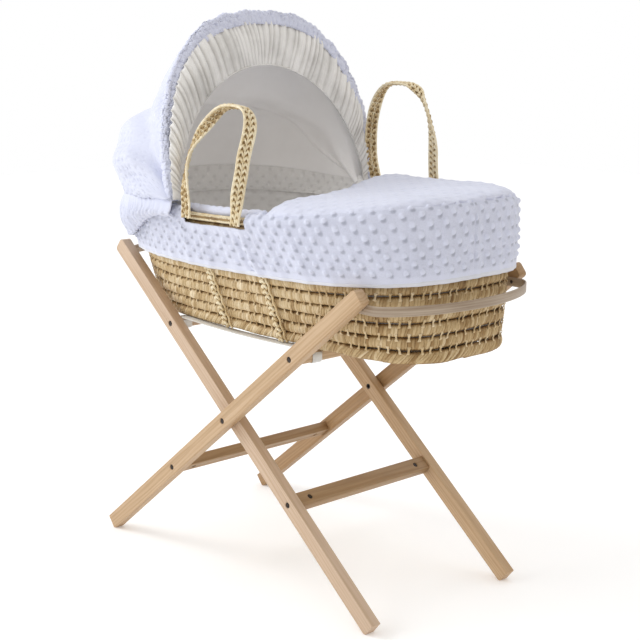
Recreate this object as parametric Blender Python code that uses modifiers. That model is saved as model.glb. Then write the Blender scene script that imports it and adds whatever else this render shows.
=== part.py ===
"""Moses basket on a folding pine stand: metres, +Z up, the floor at z = 0.

+X is the foot end and -X the head end with the hood; Y is the width. The two X-shaped frames
cross at a pivot, and most places are measured from it along X. The empty "whole" moves
everything so that the object's box is centred on X.
"""

import math

import bmesh
import bpy
from mathutils import Matrix, Vector

OBJECT_NAME = "moses_basket_on_stand"
GAP = 0.0003  # between pieces that touch

# The stand
CENTRE_SHIFT = -0.0085  # the pivot's x, with the object's box centred on x = 0
PIVOT_Z = 0.292
LEG_ANGLE = math.radians(39.1)  # above the floor, with the stand open
LEG_UP = 0.432  # from the pivot to the leg's top
LEG_DOWN = 0.4495
LEG_WIDE = 0.028
LEG_THICK = 0.019
INNER_Y = 0.160  # inner face of the inner frame's legs
OUTER_Y = 0.182
TOP_RUNG = 0.227  # from the pivot, along the leg
LOW_RUNG = 0.192
TOP_RUNG_WIDE = 0.024
TOP_RUNG_THICK = 0.018
BOLT_R = 0.003
HOLE_R = 0.0034
HEAD_R = 0.0050
SINK_R = 0.0055
SINK_DEEP = 0.005
HEAD_DEEP = 0.0038
SOCKET_R = 0.0022  # the hexagon socket in a bolt's head
SOCKET_DEEP = 0.0016
SOCKET_DISH = 0.0003
RUNG_BOLT_LONG = 0.050
RUNG_BORE = 0.042
RING_NUT_LONG = 0.0042
WASHER_R = 0.009
WASHER_THICK = 0.0024
LEG_CORNER = 0.006
RUNG_CORNER = 0.002
NUT_R = 0.0048
NUT_LONG = 0.016
NUT_IN = 0.028  # from the rung's end to its barrel nut
STRAP_WIDE = 0.0215
STRAP_THICK = 0.0016
STRAP_SAG = 0.004
BAND_TALL = 0.016
BAND_THICK = 0.003
BAND_Z = 0.541
BAND_START = 0.318  # where the strip begins on the leg's inner face
BAND_BEND = {"foot": 0.348, "head": 0.337}  # where it leaves the straight
BAND_REACH = {"foot": 0.069, "head": 0.063}
BAND_POWER = 1.25
BAND_SCREW_IN = 0.010
SCREW_R = 0.0016
SCREW_HEAD_R = 0.0032
SCREW_HOLE_R = 0.0019

# The basket: superellipse rings, from the base to the rim
BASKET_X = 0.030
BASE_Z = 0.4468
BASE_FOOT, BASE_HEAD, BASE_HALF_WIDTH, BASE_POWER = 0.362, 0.345, 0.147, 4.3
RIM_FOOT, RIM_HEAD, RIM_HALF_WIDTH, RIM_POWER = 0.358, 0.390, 0.2315, 2.84
RIM_LOW_Z = 0.6613  # the rim's height at the pivot; it rises to both ends
RIM_TILT = 0.0249
RIM_CURVE = 0.1254
RING_POINTS = 44
WALL_THICK = 0.012
WALL_FOOT, WALL_TOP = 0.012, 0.925  # shares of the basket's height
RIM_BRAID_DOWN = 0.0084  # the braid's middle below the rim line
BRAID_R = 0.007
BASE_THICK = 0.010
MATTRESS_THICK = 0.035
LINER_THICK = 0.0025
LINER_SLACK = 0.0028  # the sloping wall is thicker along the level
SKIRT_IN = 0.0065  # the skirt's inner face, out from the wall
SKIRT_THICK = 0.003
SKIRT_HEM = 0.557  # share of the basket's height

# The handles: feet and wall straps along X, height, lean towards the middle, drift of the top
HANDLES = {
    "near": {
        "side": -1, "feet": (-0.042, 0.088), "straps": (-0.042, 0.104),
        "height": 0.190, "lean": math.radians(13), "drift": 0.027,
    },
    "far": {
        "side": 1, "feet": (-0.057, 0.089), "straps": (-0.057, 0.089),
        "height": 0.212, "lean": math.radians(3), "drift": 0.0,
    },
}
HANDLE_OUT = 0.0085  # the swing axis, out from the wall
HANDLE_BELOW = 0.0015  # the swing axis below the rim line
HANDLE_WIDE = 0.022
HANDLE_THICK = 0.008
HANDLE_POWER = 3.3
HANDLE_SWELL = 0.14  # share by which the loop is wider half way up
HANDLE_SWAY = -0.0125  # along X, above the feet
HANDLE_TWIST = 0.35  # share of the height over which the band turns edge-on
NOTCH_DEEP = 0.017
NOTCH_MARGIN = 0.016
WALL_STRAP_THICK = 0.0045
WALL_STRAP_TOP = 0.90  # share of the basket's height

# The hood, about the axis through the feet of its hoop
HOOD_AXIS_X = -0.081
HOOD_AXIS_Z = 0.676
HOOD_FRONT = math.radians(100)  # from +X, round the axis
HOOD_WIDE, HOOD_TALL, HOOD_POWER = 0.236, 0.306, 2.5
PIPING_WIDE, PIPING_TALL, PIPING_POWER = 0.219, 0.228, 1.95
FACING_THICK = 0.005
HOOP_R = 0.0025
HOOP_BEHIND = 0.007
COVER_BEHIND = 0.014
COVER_THICK = 0.003
LINING_INSIDE = 0.007

# The quilt over the foot half
QUILT_THICK = 0.014
QUILT_CROWN = 0.030
QUILT_HEAD_NEAR, QUILT_HEAD_FAR = 0.086, -0.050

COLOURS = {
    "pine": ((0.66, 0.42, 0.25), 0.45, 0.0),
    "bent_strip": ((0.42, 0.34, 0.27), 0.45, 0.0),
    "steel": ((0.10, 0.09, 0.08), 0.4, 0.9),
    "webbing": ((0.80, 0.80, 0.78), 0.8, 0.0),
    "palm": ((0.62, 0.42, 0.19), 0.65, 0.0),
    "palm_handle": ((0.70, 0.55, 0.30), 0.65, 0.0),
    "dimple_white": ((0.83, 0.84, 0.88), 0.9, 0.0),
    "lining_grey": ((0.52, 0.50, 0.48), 0.85, 0.0),
    "facing_grey": ((0.62, 0.60, 0.57), 0.85, 0.0),
    "mattress_white": ((0.86, 0.86, 0.85), 0.85, 0.0),
}


# ---------------------------------------------------------------- helpers


def clear_scene():
    for obj in list(bpy.data.objects):
        bpy.data.objects.remove(obj, do_unlink=True)


def collection(name, helper=False):
    made = bpy.data.collections.new(name)
    bpy.context.scene.collection.children.link(made)
    made.hide_render = helper
    return made


def material(name):
    made = bpy.data.materials.get(name)
    if made:
        return made
    colour, roughness, metallic = COLOURS[name]
    made = bpy.data.materials.new(name)
    made.use_nodes = True
    shader = made.node_tree.nodes["Principled BSDF"]
    shader.inputs["Base Color"].default_value = (*colour, 1)
    shader.inputs["Roughness"].default_value = roughness
    shader.inputs["Metallic"].default_value = metallic
    return made


def empty(name, place, parent=None):
    made = bpy.data.objects.new(name, None)
    made.location = place
    made.parent = parent
    PARTS.objects.link(made)
    return made


def piece(name, data, look, parent, place=(0, 0, 0), turn=0.0):
    """A named object of the model; turn is its rotation about Y."""
    made = bpy.data.objects.new(name, data)
    made.location = place
    made.rotation_euler = (0, turn, 0)
    made.parent = parent
    data.materials.append(material(look))
    PARTS.objects.link(made)
    return made


def mesh_of(name, bm, smooth=False):
    bmesh.ops.recalc_face_normals(bm, faces=bm.faces)
    data = bpy.data.meshes.new(name)
    bm.to_mesh(data)
    bm.free()
    if smooth:
        data.shade_smooth()
        data.set_sharp_from_angle(angle=math.radians(40))
    return data


def add_box(bm, size, centre=(0, 0, 0)):
    made = bmesh.ops.create_cube(bm, size=1)["verts"]
    bmesh.ops.scale(bm, vec=size, verts=made)
    bmesh.ops.translate(bm, vec=centre, verts=made)
    return made


def add_cylinder(bm, radius, depth, centre, segments=16, axis="Y"):
    turn = Matrix.Rotation(math.pi / 2, 4, "X" if axis == "Y" else "Y")
    if axis == "Z":
        turn = Matrix.Identity(4)
    bmesh.ops.create_cone(
        bm, cap_ends=True, segments=segments, radius1=radius, radius2=radius,
        depth=depth, matrix=Matrix.Translation(centre) @ turn,
    )


def cut(obj, name, bm):
    """Cuts the shapes in bm, given in the object's own frame, out of it."""
    cutter = bpy.data.objects.new(name, mesh_of(name, bm))
    cutter.parent = obj.parent
    cutter.location = obj.location
    cutter.rotation_euler = obj.rotation_euler
    cutter.hide_render = True
    cutter.display_type = "WIRE"
    CUTTERS.objects.link(cutter)
    made = obj.modifiers.new(name, "BOOLEAN")
    made.operation = "DIFFERENCE"
    made.object = cutter


def solidify(obj, thickness, offset=0.0):
    made = obj.modifiers.new("thickness", "SOLIDIFY")
    made.thickness = thickness
    made.offset = offset
    made.use_even_offset = True


def bevel(obj, width):
    made = obj.modifiers.new("rounding", "BEVEL")
    made.width = width
    made.segments = 2
    made.limit_method = "ANGLE"
    made.angle_limit = math.radians(50)


def turned(name, profile, look, parent, place, turn_z, segments=14):
    """A turned piece along its own Z, laid along Y by its object's rotation."""
    bm = bmesh.new()
    points = [bm.verts.new((radius, 0, height)) for radius, height in profile]
    for one, two in zip(points, points[1:]):
        bm.edges.new((one, two))
    data = bpy.data.meshes.new(name)
    bm.to_mesh(data)
    bm.free()
    made = piece(name, data, look, parent, place)
    made.rotation_euler = (math.pi / 2, 0, turn_z)
    screw = made.modifiers.new("turn", "SCREW")
    screw.steps = segments
    screw.render_steps = segments
    screw.use_merge_vertices = True
    screw.merge_threshold = 0.00001
    return made


def grid(rows, closed=False):
    """An open surface through rows of points; closed joins each row's ends."""
    bm = bmesh.new()
    verts = [[bm.verts.new(point) for point in row] for row in rows]
    count = len(rows[0])
    for low, high in zip(verts, verts[1:]):
        for i in range(count if closed else count - 1):
            j = (i + 1) % count
            bm.faces.new((low[i], low[j], high[j], high[i]))
    return bm


def power(value, exponent):
    return math.copysign(abs(value) ** exponent, value)


# ---------------------------------------------------------------- the stand


def leg(name, side, inner, parent):
    face_y = (INNER_Y if inner else OUTER_Y) + LEG_THICK / 2
    angle = math.pi - LEG_ANGLE if inner else LEG_ANGLE
    bm = bmesh.new()
    add_box(bm, (LEG_UP + LEG_DOWN, LEG_THICK, LEG_WIDE), ((LEG_UP - LEG_DOWN) / 2, 0, 0))
    top_corners = [
        edge for edge in bm.edges
        if all(vert.co.x > 0 for vert in edge.verts)
        and edge.verts[0].co.z * edge.verts[1].co.z > 0
    ]
    bmesh.ops.bevel(
        bm, geom=top_corners, offset=LEG_CORNER, segments=3, profile=0.5, affect="EDGES",
    )
    made = piece(name, mesh_of(name, bm), "pine", parent, (0, side * face_y, 0), -angle)
    bm = bmesh.new()
    for along in (0, TOP_RUNG, -LOW_RUNG):
        add_cylinder(bm, HOLE_R, LEG_THICK * 2, (along, 0, 0))
    cut(made, name + "_holes", bm)
    bm = bmesh.new()
    for along in (0, TOP_RUNG, -LOW_RUNG):
        inside = inner and along == 0  # the pivot's nut is let into the inner leg's inner face
        face = side * LEG_THICK / 2 * (-1 if inside else 1)
        add_cylinder(bm, SINK_R, 2 * SINK_DEEP, (along, face, 0))
    cut(made, name + "_sinks", bm)
    # the foot's corner is trimmed level, so that it stands on a flat
    bm = bmesh.new()
    add_box(bm, (0.2, 0.1, 0.1), (0, 0, -0.05))
    place = Matrix.Rotation(angle, 4, "Y") @ Matrix.Translation((-math.cos(angle) * LEG_DOWN, 0, -PIVOT_Z))
    bmesh.ops.transform(bm, matrix=place, verts=bm.verts)
    cut(made, name + "_floor", bm)
    return made


def rung(name, along, inner, wide, thick, level, parent):
    """A cross rail between two legs, bored for a bolt and a barrel nut at each end."""
    half = (INNER_Y if inner else OUTER_Y) - GAP
    angle = math.pi - LEG_ANGLE if inner else LEG_ANGLE
    place = (along * math.cos(angle), 0, along * math.sin(angle))
    bm = bmesh.new()
    add_box(bm, (wide, 2 * half, thick))
    edges = [edge for edge in bm.edges if abs(edge.verts[0].co.y - edge.verts[1].co.y) > half]
    bmesh.ops.bevel(bm, geom=edges, offset=RUNG_CORNER, segments=2, profile=0.5, affect="EDGES")
    made = piece(name, mesh_of(name, bm), "pine", parent, place, 0 if level else -angle)
    bm = bmesh.new()
    for side in (-1, 1):
        add_cylinder(bm, HOLE_R, 2 * RUNG_BORE, (0, side * half, 0), 12)
    cut(made, name + "_bores", bm)
    bm = bmesh.new()
    for side in (-1, 1):
        add_cylinder(bm, NUT_R + GAP, 2 * LEG_WIDE, (0, side * (half - NUT_IN), 0), 12, "Z")
    cut(made, name + "_cross_bores", bm)
    return made


def bolt_profile(length):
    """Radius and height down a socket-headed bolt, from the top of its head."""
    return [
        (0, 0), (SOCKET_R, 0), (SOCKET_R, -SOCKET_DEEP), (HEAD_R, -SOCKET_DISH),
        (HEAD_R, -HEAD_DEEP), (BOLT_R, -HEAD_DEEP), (BOLT_R, -length), (0, -length),
    ]


def ring_profile(radius, length):
    return [(radius, length), (radius, 0), (HOLE_R, 0), (HOLE_R, length), (radius, length)]


def rung_fasteners(name, along, inner, level, parent):
    half = (INNER_Y if inner else OUTER_Y) - GAP
    angle = math.pi - LEG_ANGLE if inner else LEG_ANGLE
    x, z = along * math.cos(angle), along * math.sin(angle)
    head_y = half + GAP + LEG_THICK - SINK_DEEP + GAP
    for word, side in (("near", -1), ("far", 1)):
        turned(
            f"{name}_bolt_{word}", bolt_profile(RUNG_BOLT_LONG), "steel", parent,
            (x, side * (head_y + HEAD_DEEP), z), math.pi if side > 0 else 0,
        )
        bm = bmesh.new()
        add_cylinder(bm, NUT_R, NUT_LONG, (0, 0, 0), 12, "Z")
        turn = 0 if level else -angle
        nut = piece(
            f"{name}_nut_{word}", mesh_of("nut", bm, True), "steel", parent,
            (x, side * (half - NUT_IN), z), turn,
        )
        bm = bmesh.new()
        add_cylinder(bm, HOLE_R - GAP / 3, 4 * NUT_R, (0, 0, 0), 12)
        cut(nut, f"{name}_nut_{word}_bore", bm)


def pivot_fasteners(word, side, parent):
    head_y = OUTER_Y + LEG_THICK - SINK_DEEP + GAP
    profile = bolt_profile(head_y + HEAD_DEEP - INNER_Y - RING_NUT_LONG)
    spin = math.pi if side > 0 else 0
    turned(f"pivot_bolt_{word}", profile, "steel", parent, (0, side * (head_y + HEAD_DEEP), 0), spin)
    # a ring nut let into the inner leg, and a washer that keeps the frames apart
    nut = ring_profile(HEAD_R, RING_NUT_LONG)
    nut_y = INNER_Y + SINK_DEEP - GAP
    turned(f"pivot_nut_{word}", nut, "steel", parent, (0, side * nut_y, 0), math.pi - spin)
    washer = ring_profile(WASHER_R, WASHER_THICK)
    washer_y = OUTER_Y - GAP
    turned(f"pivot_washer_{word}", washer, "steel", parent, (0, side * washer_y, 0), math.pi - spin)


def strap(word, side, parent):
    """Webbing from the inner frame's top rung to the outer one's, sewn round both."""
    x = TOP_RUNG * math.cos(LEG_ANGLE)
    z = TOP_RUNG * math.sin(LEG_ANGLE)
    y = side * (INNER_Y - 2 * GAP - STRAP_WIDE / 2)
    top = TOP_RUNG_THICK / 2 + GAP
    count = 12
    bm = bmesh.new()
    for i in range(count + 1):
        share = i / count
        along = -x + 2 * x * share
        drop = STRAP_SAG * math.sin(math.pi * share)
        for across in (-1, 1):
            bm.verts.new((along, across * STRAP_WIDE / 2, top + STRAP_THICK / 2 - drop))
    bm.verts.ensure_lookup_table()
    for i in range(count):
        bm.faces.new([bm.verts[k] for k in (2 * i, 2 * i + 2, 2 * i + 3, 2 * i + 1)])
    made = piece(f"strap_{word}", mesh_of("web", bm), "webbing", parent, (0, y, z))
    solidify(made, STRAP_THICK)
    for end in (-1, 1):
        bm = bmesh.new()
        size = (TOP_RUNG_WIDE + 2 * GAP + 2 * STRAP_THICK, STRAP_WIDE, 2 * top + 2 * STRAP_THICK)
        add_box(bm, size, (end * x, 0, 0))
        join = bpy.data.objects.new(f"strap_{word}_sleeve_{end}", mesh_of("sleeve", bm))
        join.parent, join.location = made.parent, made.location
        join.hide_render = True
        join.display_type = "WIRE"
        CUTTERS.objects.link(join)
        union = made.modifiers.new("sleeve", "BOOLEAN")
        union.operation = "UNION"
        union.object = join
    bm = bmesh.new()
    for end in (-1, 1):
        add_box(bm, (TOP_RUNG_WIDE + 2 * GAP, 0.1, 2 * top), (end * x, 0, 0))
    cut(made, f"strap_{word}_rungs", bm)


def end_band(word, end, inner, parent):
    """A thin bent strip round one end of the basket, screwed to the legs' inner faces."""
    face = (INNER_Y if inner else OUTER_Y) - GAP
    half = face - BAND_THICK / 2
    bend = BAND_BEND[word]
    path = [(end * BAND_START, -half)]
    count = 16
    for i in range(count + 1):
        turn = math.pi * (i / count - 0.5)
        reach = BAND_REACH[word] * max(0.0, math.cos(turn)) ** BAND_POWER
        path.append((end * (bend + reach), half * math.sin(turn)))
    path.append((end * BAND_START, half))
    z = BAND_Z - PIVOT_Z
    rows = [[(x, y, z + level) for x, y in path] for level in (-BAND_TALL / 2, BAND_TALL / 2)]
    name = f"{word}_band"
    made = piece(name, mesh_of(name, grid(rows)), "bent_strip", parent)
    solidify(made, BAND_THICK)
    x = end * (BAND_START + BAND_SCREW_IN)
    bm = bmesh.new()
    for side in (-1, 1):
        add_cylinder(bm, SCREW_HOLE_R, LEG_THICK, (x, side * half, z), 10)
    cut(made, f"{name}_holes", bm)
    dome = SCREW_HEAD_R / 2
    profile = [
        (0, dome), (0.7 * SCREW_HEAD_R, 0.8 * dome), (SCREW_HEAD_R, GAP), (SCREW_R, GAP),
        (SCREW_R, -BAND_THICK), (0, -BAND_THICK),
    ]
    for side_word, side in (("near", -1), ("far", 1)):
        place = (x, side * (face - BAND_THICK), z)
        turned(f"{name}_screw_{side_word}", profile, "steel", parent, place, math.pi if side < 0 else 0, 10)


def build_stand(origin):
    pivot = empty("inner_frame_at_pivot", (0, 0, PIVOT_Z), origin)
    fold = empty("outer_frame_at_pivot", (0, 0, PIVOT_Z), origin)
    for word, side in (("near", -1), ("far", 1)):
        leg(f"inner_leg_{word}", side, True, pivot)
        leg(f"outer_leg_{word}", side, False, fold)
        pivot_fasteners(word, side, pivot)
        strap(word, side, pivot)
    for word, inner, parent in (("inner", True, pivot), ("outer", False, fold)):
        for level, along in (("top", TOP_RUNG), ("low", -LOW_RUNG)):
            top = level == "top"
            wide, thick = (TOP_RUNG_WIDE, TOP_RUNG_THICK) if top else (LEG_WIDE, LEG_THICK)
            name = f"{word}_{level}_rung"
            rung(name, along, inner, wide, thick, top, parent)
            rung_fasteners(name, along, inner, top, parent)
    end_band("foot", 1, False, fold)
    end_band("head", -1, True, pivot)


# ---------------------------------------------------------------- the basket


def rim_z(x):
    return RIM_LOW_Z + RIM_TILT * x + RIM_CURVE * x * x


def ring_shape(share, out):
    """Foot and head half lengths, half width and power of the ring at a share of the height."""
    def mix(low, high):
        return low + (high - low) * share
    return (
        mix(BASE_FOOT, RIM_FOOT) + out, mix(BASE_HEAD, RIM_HEAD) + out,
        mix(BASE_HALF_WIDTH, RIM_HALF_WIDTH) + out, mix(BASE_POWER, RIM_POWER),
    )


def ring(share, out, lift=0.0, start=0.0, end=2 * math.pi, count=RING_POINTS):
    """Points round the basket at a share of its height, out from the wall by out."""
    foot, head, half, exponent = ring_shape(share, out)
    whole = abs(end - start - 2 * math.pi) < 1e-6
    points = []
    for i in range(count if whole else count + 1):
        turn = start + (end - start) * i / count
        c, s = math.cos(turn), math.sin(turn)
        x = BASKET_X + (foot if c > 0 else head) * power(c, 2 / exponent)
        y = half * power(s, 2 / exponent)
        points.append(Vector((x, y, BASE_Z + (rim_z(x) - BASE_Z) * share + lift)))
    return points


def wall_y(x, share, out):
    foot, head, half, exponent = ring_shape(share, out)
    length = foot if x > BASKET_X else head
    return half * (1 - abs((x - BASKET_X) / length) ** exponent) ** (1 / exponent)


def plate(name, points, thickness, look, parent):
    bm = bmesh.new()
    face = bm.faces.new([bm.verts.new(point) for point in points])
    face.normal_update()
    if face.normal.z < 0:
        face.normal_flip()
    data = bpy.data.meshes.new(name)
    bm.to_mesh(data)
    bm.free()
    made = piece(name, data, look, parent)
    solidify(made, thickness, 1.0)
    return made


def flat(points, z):
    return [Vector((p.x, p.y, z)) for p in points]


def basket_wall(parent):
    half = WALL_THICK / 2
    rows = [ring(share, -half) for share in (WALL_FOOT, 0.25, 0.5, 0.75, WALL_TOP)]
    made = piece("basket_wall", mesh_of("basket_wall", grid(rows, True)), "palm", parent)
    solidify(made, WALL_THICK)


def basket_rim(parent):
    """The round braid along the top of the wall."""
    data = bpy.data.curves.new("basket_rim", "CURVE")
    data.dimensions = "3D"
    points = ring(1, -BRAID_R, -RIM_BRAID_DOWN)
    spline = data.splines.new("POLY")
    spline.points.add(len(points) - 1)
    for target, point in zip(spline.points, points):
        target.co = (*point, 1)
    spline.use_cyclic_u = True
    data.bevel_depth = BRAID_R
    data.bevel_resolution = 2
    piece("basket_rim", data, "palm", parent)


def wall_strap(name, x, side, parent):
    """A flat braid down the outside of the wall, under the skirt."""
    out = 2 * GAP + WALL_STRAP_THICK / 2
    count = 6
    rows = []
    for i in range(count + 1):
        share = WALL_STRAP_TOP * i / count
        row = []
        for across in (-1, 0, 1):
            at = x + across * HANDLE_WIDE / 2
            z = BASE_Z + (rim_z(at) - BASE_Z) * share
            row.append((at, side * wall_y(at, share, out), z))
        rows.append(row)
    made = piece(name, mesh_of(name, grid(rows)), "palm_handle", parent)
    solidify(made, WALL_STRAP_THICK)


def handle(word, parent):
    """A braided loop: flat on the wall at its feet, turned edge-on above them."""
    side, feet, height = (HANDLES[word][key] for key in ("side", "feet", "height"))
    middle = sum(feet) / 2
    axis_y = side * (wall_y(middle, 1, 0) + HANDLE_OUT)
    axis_z = rim_z(middle) - HANDLE_BELOW
    half = (feet[1] - feet[0]) / 2
    count = 24
    rows = []
    for i in range(count + 1):
        turn = math.pi * i / count
        c, s = math.cos(turn), math.sin(turn)
        rise = power(s, 2 / HANDLE_POWER)
        low, high = min(1.0, rise / HANDLE_TWIST), max(0.0, 2 * rise - 1)
        x = -half * power(c, 2 / HANDLE_POWER) * (1 + HANDLE_SWELL * math.sin(math.pi * rise))
        x += HANDLE_SWAY * math.sin(low * math.pi / 2)
        x += HANDLES[word]["drift"] * high * high * (3 - 2 * high)
        z = (height - HANDLE_WIDE / 4) * rise
        twist = low * math.pi / 2
        width = Vector((math.cos(twist), math.sin(twist), 0)) * HANDLE_WIDE / 2
        centre = Vector((x, 0, z))
        rows.append([centre - width, centre + width])
    made = piece(f"handle_{word}", mesh_of(f"handle_{word}", grid(rows)), "palm_handle", parent)
    solidify(made, HANDLE_THICK)
    made.location = (middle, axis_y, axis_z)
    made.rotation_euler = (side * HANDLES[word]["lean"], 0, 0)
    for place, x in zip(("head", "foot"), HANDLES[word]["straps"]):
        wall_strap(f"wall_strap_{word}_{place}", x, side, parent)


def skirt(parent):
    """Dimple fabric from its hem up the outside and over the rim, notched at the handles."""
    middle = SKIRT_IN + SKIRT_THICK / 2
    rows = [ring(share, middle) for share in (SKIRT_HEM, 0.70, 0.85)]
    rows.append(ring(1, middle, -0.003))
    rows.append(ring(1, middle - 0.005, SKIRT_THICK / 2 + 0.0005))
    rows.append(ring(1, -0.014, SKIRT_THICK / 2 + 0.0005))
    rows.append(ring(1, -0.018, -0.006))
    made = piece("skirt", mesh_of("skirt", grid(rows, True)), "dimple_white", parent)
    solidify(made, SKIRT_THICK)
    bm = bmesh.new()
    for one in HANDLES.values():
        low, high = one["feet"][0] - NOTCH_MARGIN, one["feet"][1] + NOTCH_MARGIN
        inner = RIM_HALF_WIDTH - 0.009
        add_box(
            bm, (high - low, 0.06, 0.1),
            ((low + high) / 2, one["side"] * (inner + 0.03), RIM_LOW_Z - NOTCH_DEEP + 0.05),
        )
    cut(made, "skirt_notches", bm)


def liner(parent):
    out = -WALL_THICK - LINER_SLACK - LINER_THICK / 2
    low = (BASE_THICK + GAP * 2) / (RIM_LOW_Z - BASE_Z)
    rows = [ring(share, out) for share in (low, 0.3, 0.55, 0.75, 0.93)]
    made = piece("liner", mesh_of("liner", grid(rows, True)), "lining_grey", parent)
    solidify(made, LINER_THICK)


def quilt(parent):
    """A puffy cover over the foot half, higher in the middle; its head edge turns down."""
    across_count, along_count = 12, 10
    inset = -0.026
    rows = []
    for i in range(along_count + 1):
        along = i / along_count
        row = []
        for j in range(across_count + 1):
            across = -1 + 2 * j / across_count
            head_x = QUILT_HEAD_NEAR + (QUILT_HEAD_FAR - QUILT_HEAD_NEAR) * (across + 1) / 2
            foot, head, half, exponent = ring_shape(1, inset)
            foot_x = BASKET_X + foot
            reach = math.sin(along * math.pi / 2)
            x = head_x + (foot_x - head_x) * reach
            length = foot if x > BASKET_X else head
            room = max(0.0, 1 - abs((x - BASKET_X) / length) ** exponent) ** (1 / exponent)
            drop = -0.055 * (1 - along * 5) ** 2 if along < 0.2 else 0
            y = (half * max(room, 0.14) + drop * 0.45) * math.sin(across * math.pi / 2)
            side_fall = 1 - abs(math.sin(across * math.pi / 2)) ** 4
            crown = QUILT_CROWN * side_fall * (1 - reach ** 6)
            row.append((x, y, rim_z(x) + 0.004 + crown + drop))
        rows.append(row)
    made = piece("quilt", mesh_of("quilt", grid(rows)), "dimple_white", parent)
    solidify(made, QUILT_THICK)


def build_basket(origin):
    basket = empty("basket_on_stand", (0, 0, 0), origin)
    inner = -WALL_THICK - GAP
    floor = flat(ring(0, inner - 0.0012), BASE_Z)
    plate("basket_base", floor, BASE_THICK, "palm", basket)
    basket_wall(basket)
    basket_rim(basket)
    liner(basket)
    skirt(basket)
    bed_z = BASE_Z + BASE_THICK + GAP
    inset = -WALL_THICK - LINER_SLACK - LINER_THICK - 0.004
    mattress = plate("mattress", flat(ring(0.05, inset), bed_z), MATTRESS_THICK, "mattress_white", basket)
    bevel(mattress, 0.008)
    quilt(basket)
    for word in HANDLES:
        handle(word, basket)
    return basket


# ---------------------------------------------------------------- the hood


def arch(wide, tall, exponent, angle, behind=0.0, first=0.0, count=24):
    """A superellipse arch across the basket, in a plane at an angle round the hood's axis."""
    points = []
    for i in range(count + 1):
        turn = first + (math.pi - 2 * first) * i / count
        reach = tall * power(math.sin(turn), 2 / exponent)
        y = -wide * power(math.cos(turn), 2 / exponent)
        points.append(Vector((reach * math.cos(angle) - behind, y, reach * math.sin(angle))))
    return points


def hood_facing(parent):
    """The flat gathered ring of cloth round the hood's mouth."""
    outer = arch(HOOD_WIDE, HOOD_TALL, HOOD_POWER, HOOD_FRONT, 0, 0.004)
    inner = arch(PIPING_WIDE, PIPING_TALL, PIPING_POWER, HOOD_FRONT, 0, 0.012)
    lowest = 0.006
    for row in (outer, inner):
        for point in (row[0], row[-1]):
            point.z = lowest
            point.x = lowest / math.tan(HOOD_FRONT)
    made = piece("hood_facing", mesh_of("hood_facing", grid([outer, inner])), "facing_grey", parent)
    solidify(made, FACING_THICK)


def hood_hoop(parent):
    data = bpy.data.curves.new("hood_hoop", "CURVE")
    data.dimensions = "3D"
    points = arch(HOOD_WIDE - 0.004, HOOD_TALL - 0.006, HOOD_POWER, HOOD_FRONT, HOOP_BEHIND, 0.004)
    spline = data.splines.new("POLY")
    spline.points.add(len(points) - 1)
    for target, point in zip(spline.points, points):
        target.co = (*point, 1)
    data.bevel_depth = HOOP_R
    data.bevel_resolution = 2
    data.use_fill_caps = True
    piece("hood_hoop", data, "steel", parent)


def hood_shell(name, inside, thickness, look, parent):
    """The cloth from the mouth back and down to the rim round the head end."""
    rows = []
    count = 8
    for i in range(count + 1):
        share = i / count
        angle = HOOD_FRONT + (math.pi - HOOD_FRONT) * share
        dip = 0.030 * math.sin(math.pi * min(1.0, share * 1.35)) ** 2
        head = RIM_HEAD - BASKET_X + HOOD_AXIS_X + 0.0125 - COVER_BEHIND
        tall = HOOD_TALL + 0.006 + (head - HOOD_TALL) * share - dip - inside
        wide = HOOD_WIDE + 0.004 + 0.004 * share - dip * 0.5 - inside
        exponent = HOOD_POWER + 0.25 * share
        rows.append(arch(wide, tall, exponent, angle, COVER_BEHIND + inside * 0.5, 0.10, 24))
    made = piece(name, mesh_of(name, grid(rows)), look, parent)
    solidify(made, thickness)


def hood_skirt(parent):
    """The gathered hem of the hood, outside the skirt round the head end."""
    middle = SKIRT_IN + SKIRT_THICK + 0.0025 + SKIRT_THICK / 2
    start, end = math.radians(112), math.radians(248)
    rows = []
    for level in (0.0, 0.5, 1.0):
        row = ring(1, middle, 0, start, end, 28)
        for i, point in enumerate(row):
            deep = 0.016 + 0.050 * math.sin(math.pi * i / 28)
            share = 1 - (deep * level) / (rim_z(point.x) - BASE_Z)
            foot, head, half, exponent = ring_shape(share, middle)
            turn = start + (end - start) * i / 28
            x = BASKET_X + head * power(math.cos(turn), 2 / exponent)
            y = half * power(math.sin(turn), 2 / exponent)
            point.xyz = (x, y, BASE_Z + (rim_z(x) - BASE_Z) * share + 0.002)
        rows.append(row)
    made = piece("hood_skirt", mesh_of("hood_skirt", grid(rows)), "dimple_white", parent)
    solidify(made, SKIRT_THICK)


def build_hood(origin, basket):
    axis = empty("hood_at_axis", (HOOD_AXIS_X, 0, HOOD_AXIS_Z), origin)
    hood_facing(axis)
    hood_hoop(axis)
    hood_shell("hood_cover", 0.0, COVER_THICK, "dimple_white", axis)
    hood_shell("hood_lining", LINING_INSIDE, 0.0015, "lining_grey", axis)
    hood_skirt(basket)


clear_scene()
PARTS = collection(OBJECT_NAME)
CUTTERS = collection("cutters", True)
whole = empty("whole", (CENTRE_SHIFT, 0, 0))
build_stand(whole)
build_hood(whole, build_basket(whole))
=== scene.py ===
"""Looks of the Moses basket on its folding stand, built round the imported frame.

Metres, +Z up, the floor at z = 0. +X is the foot end, -X the head end with the hood, and the
near side is -Y. The basket's and the hood's shapes repeat the few numbers that the CAD model
draws them from; places come from the frame's own nodes.
"""

import math

import bmesh
import bpy
import numpy as np
from mathutils import Matrix, Vector


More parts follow.
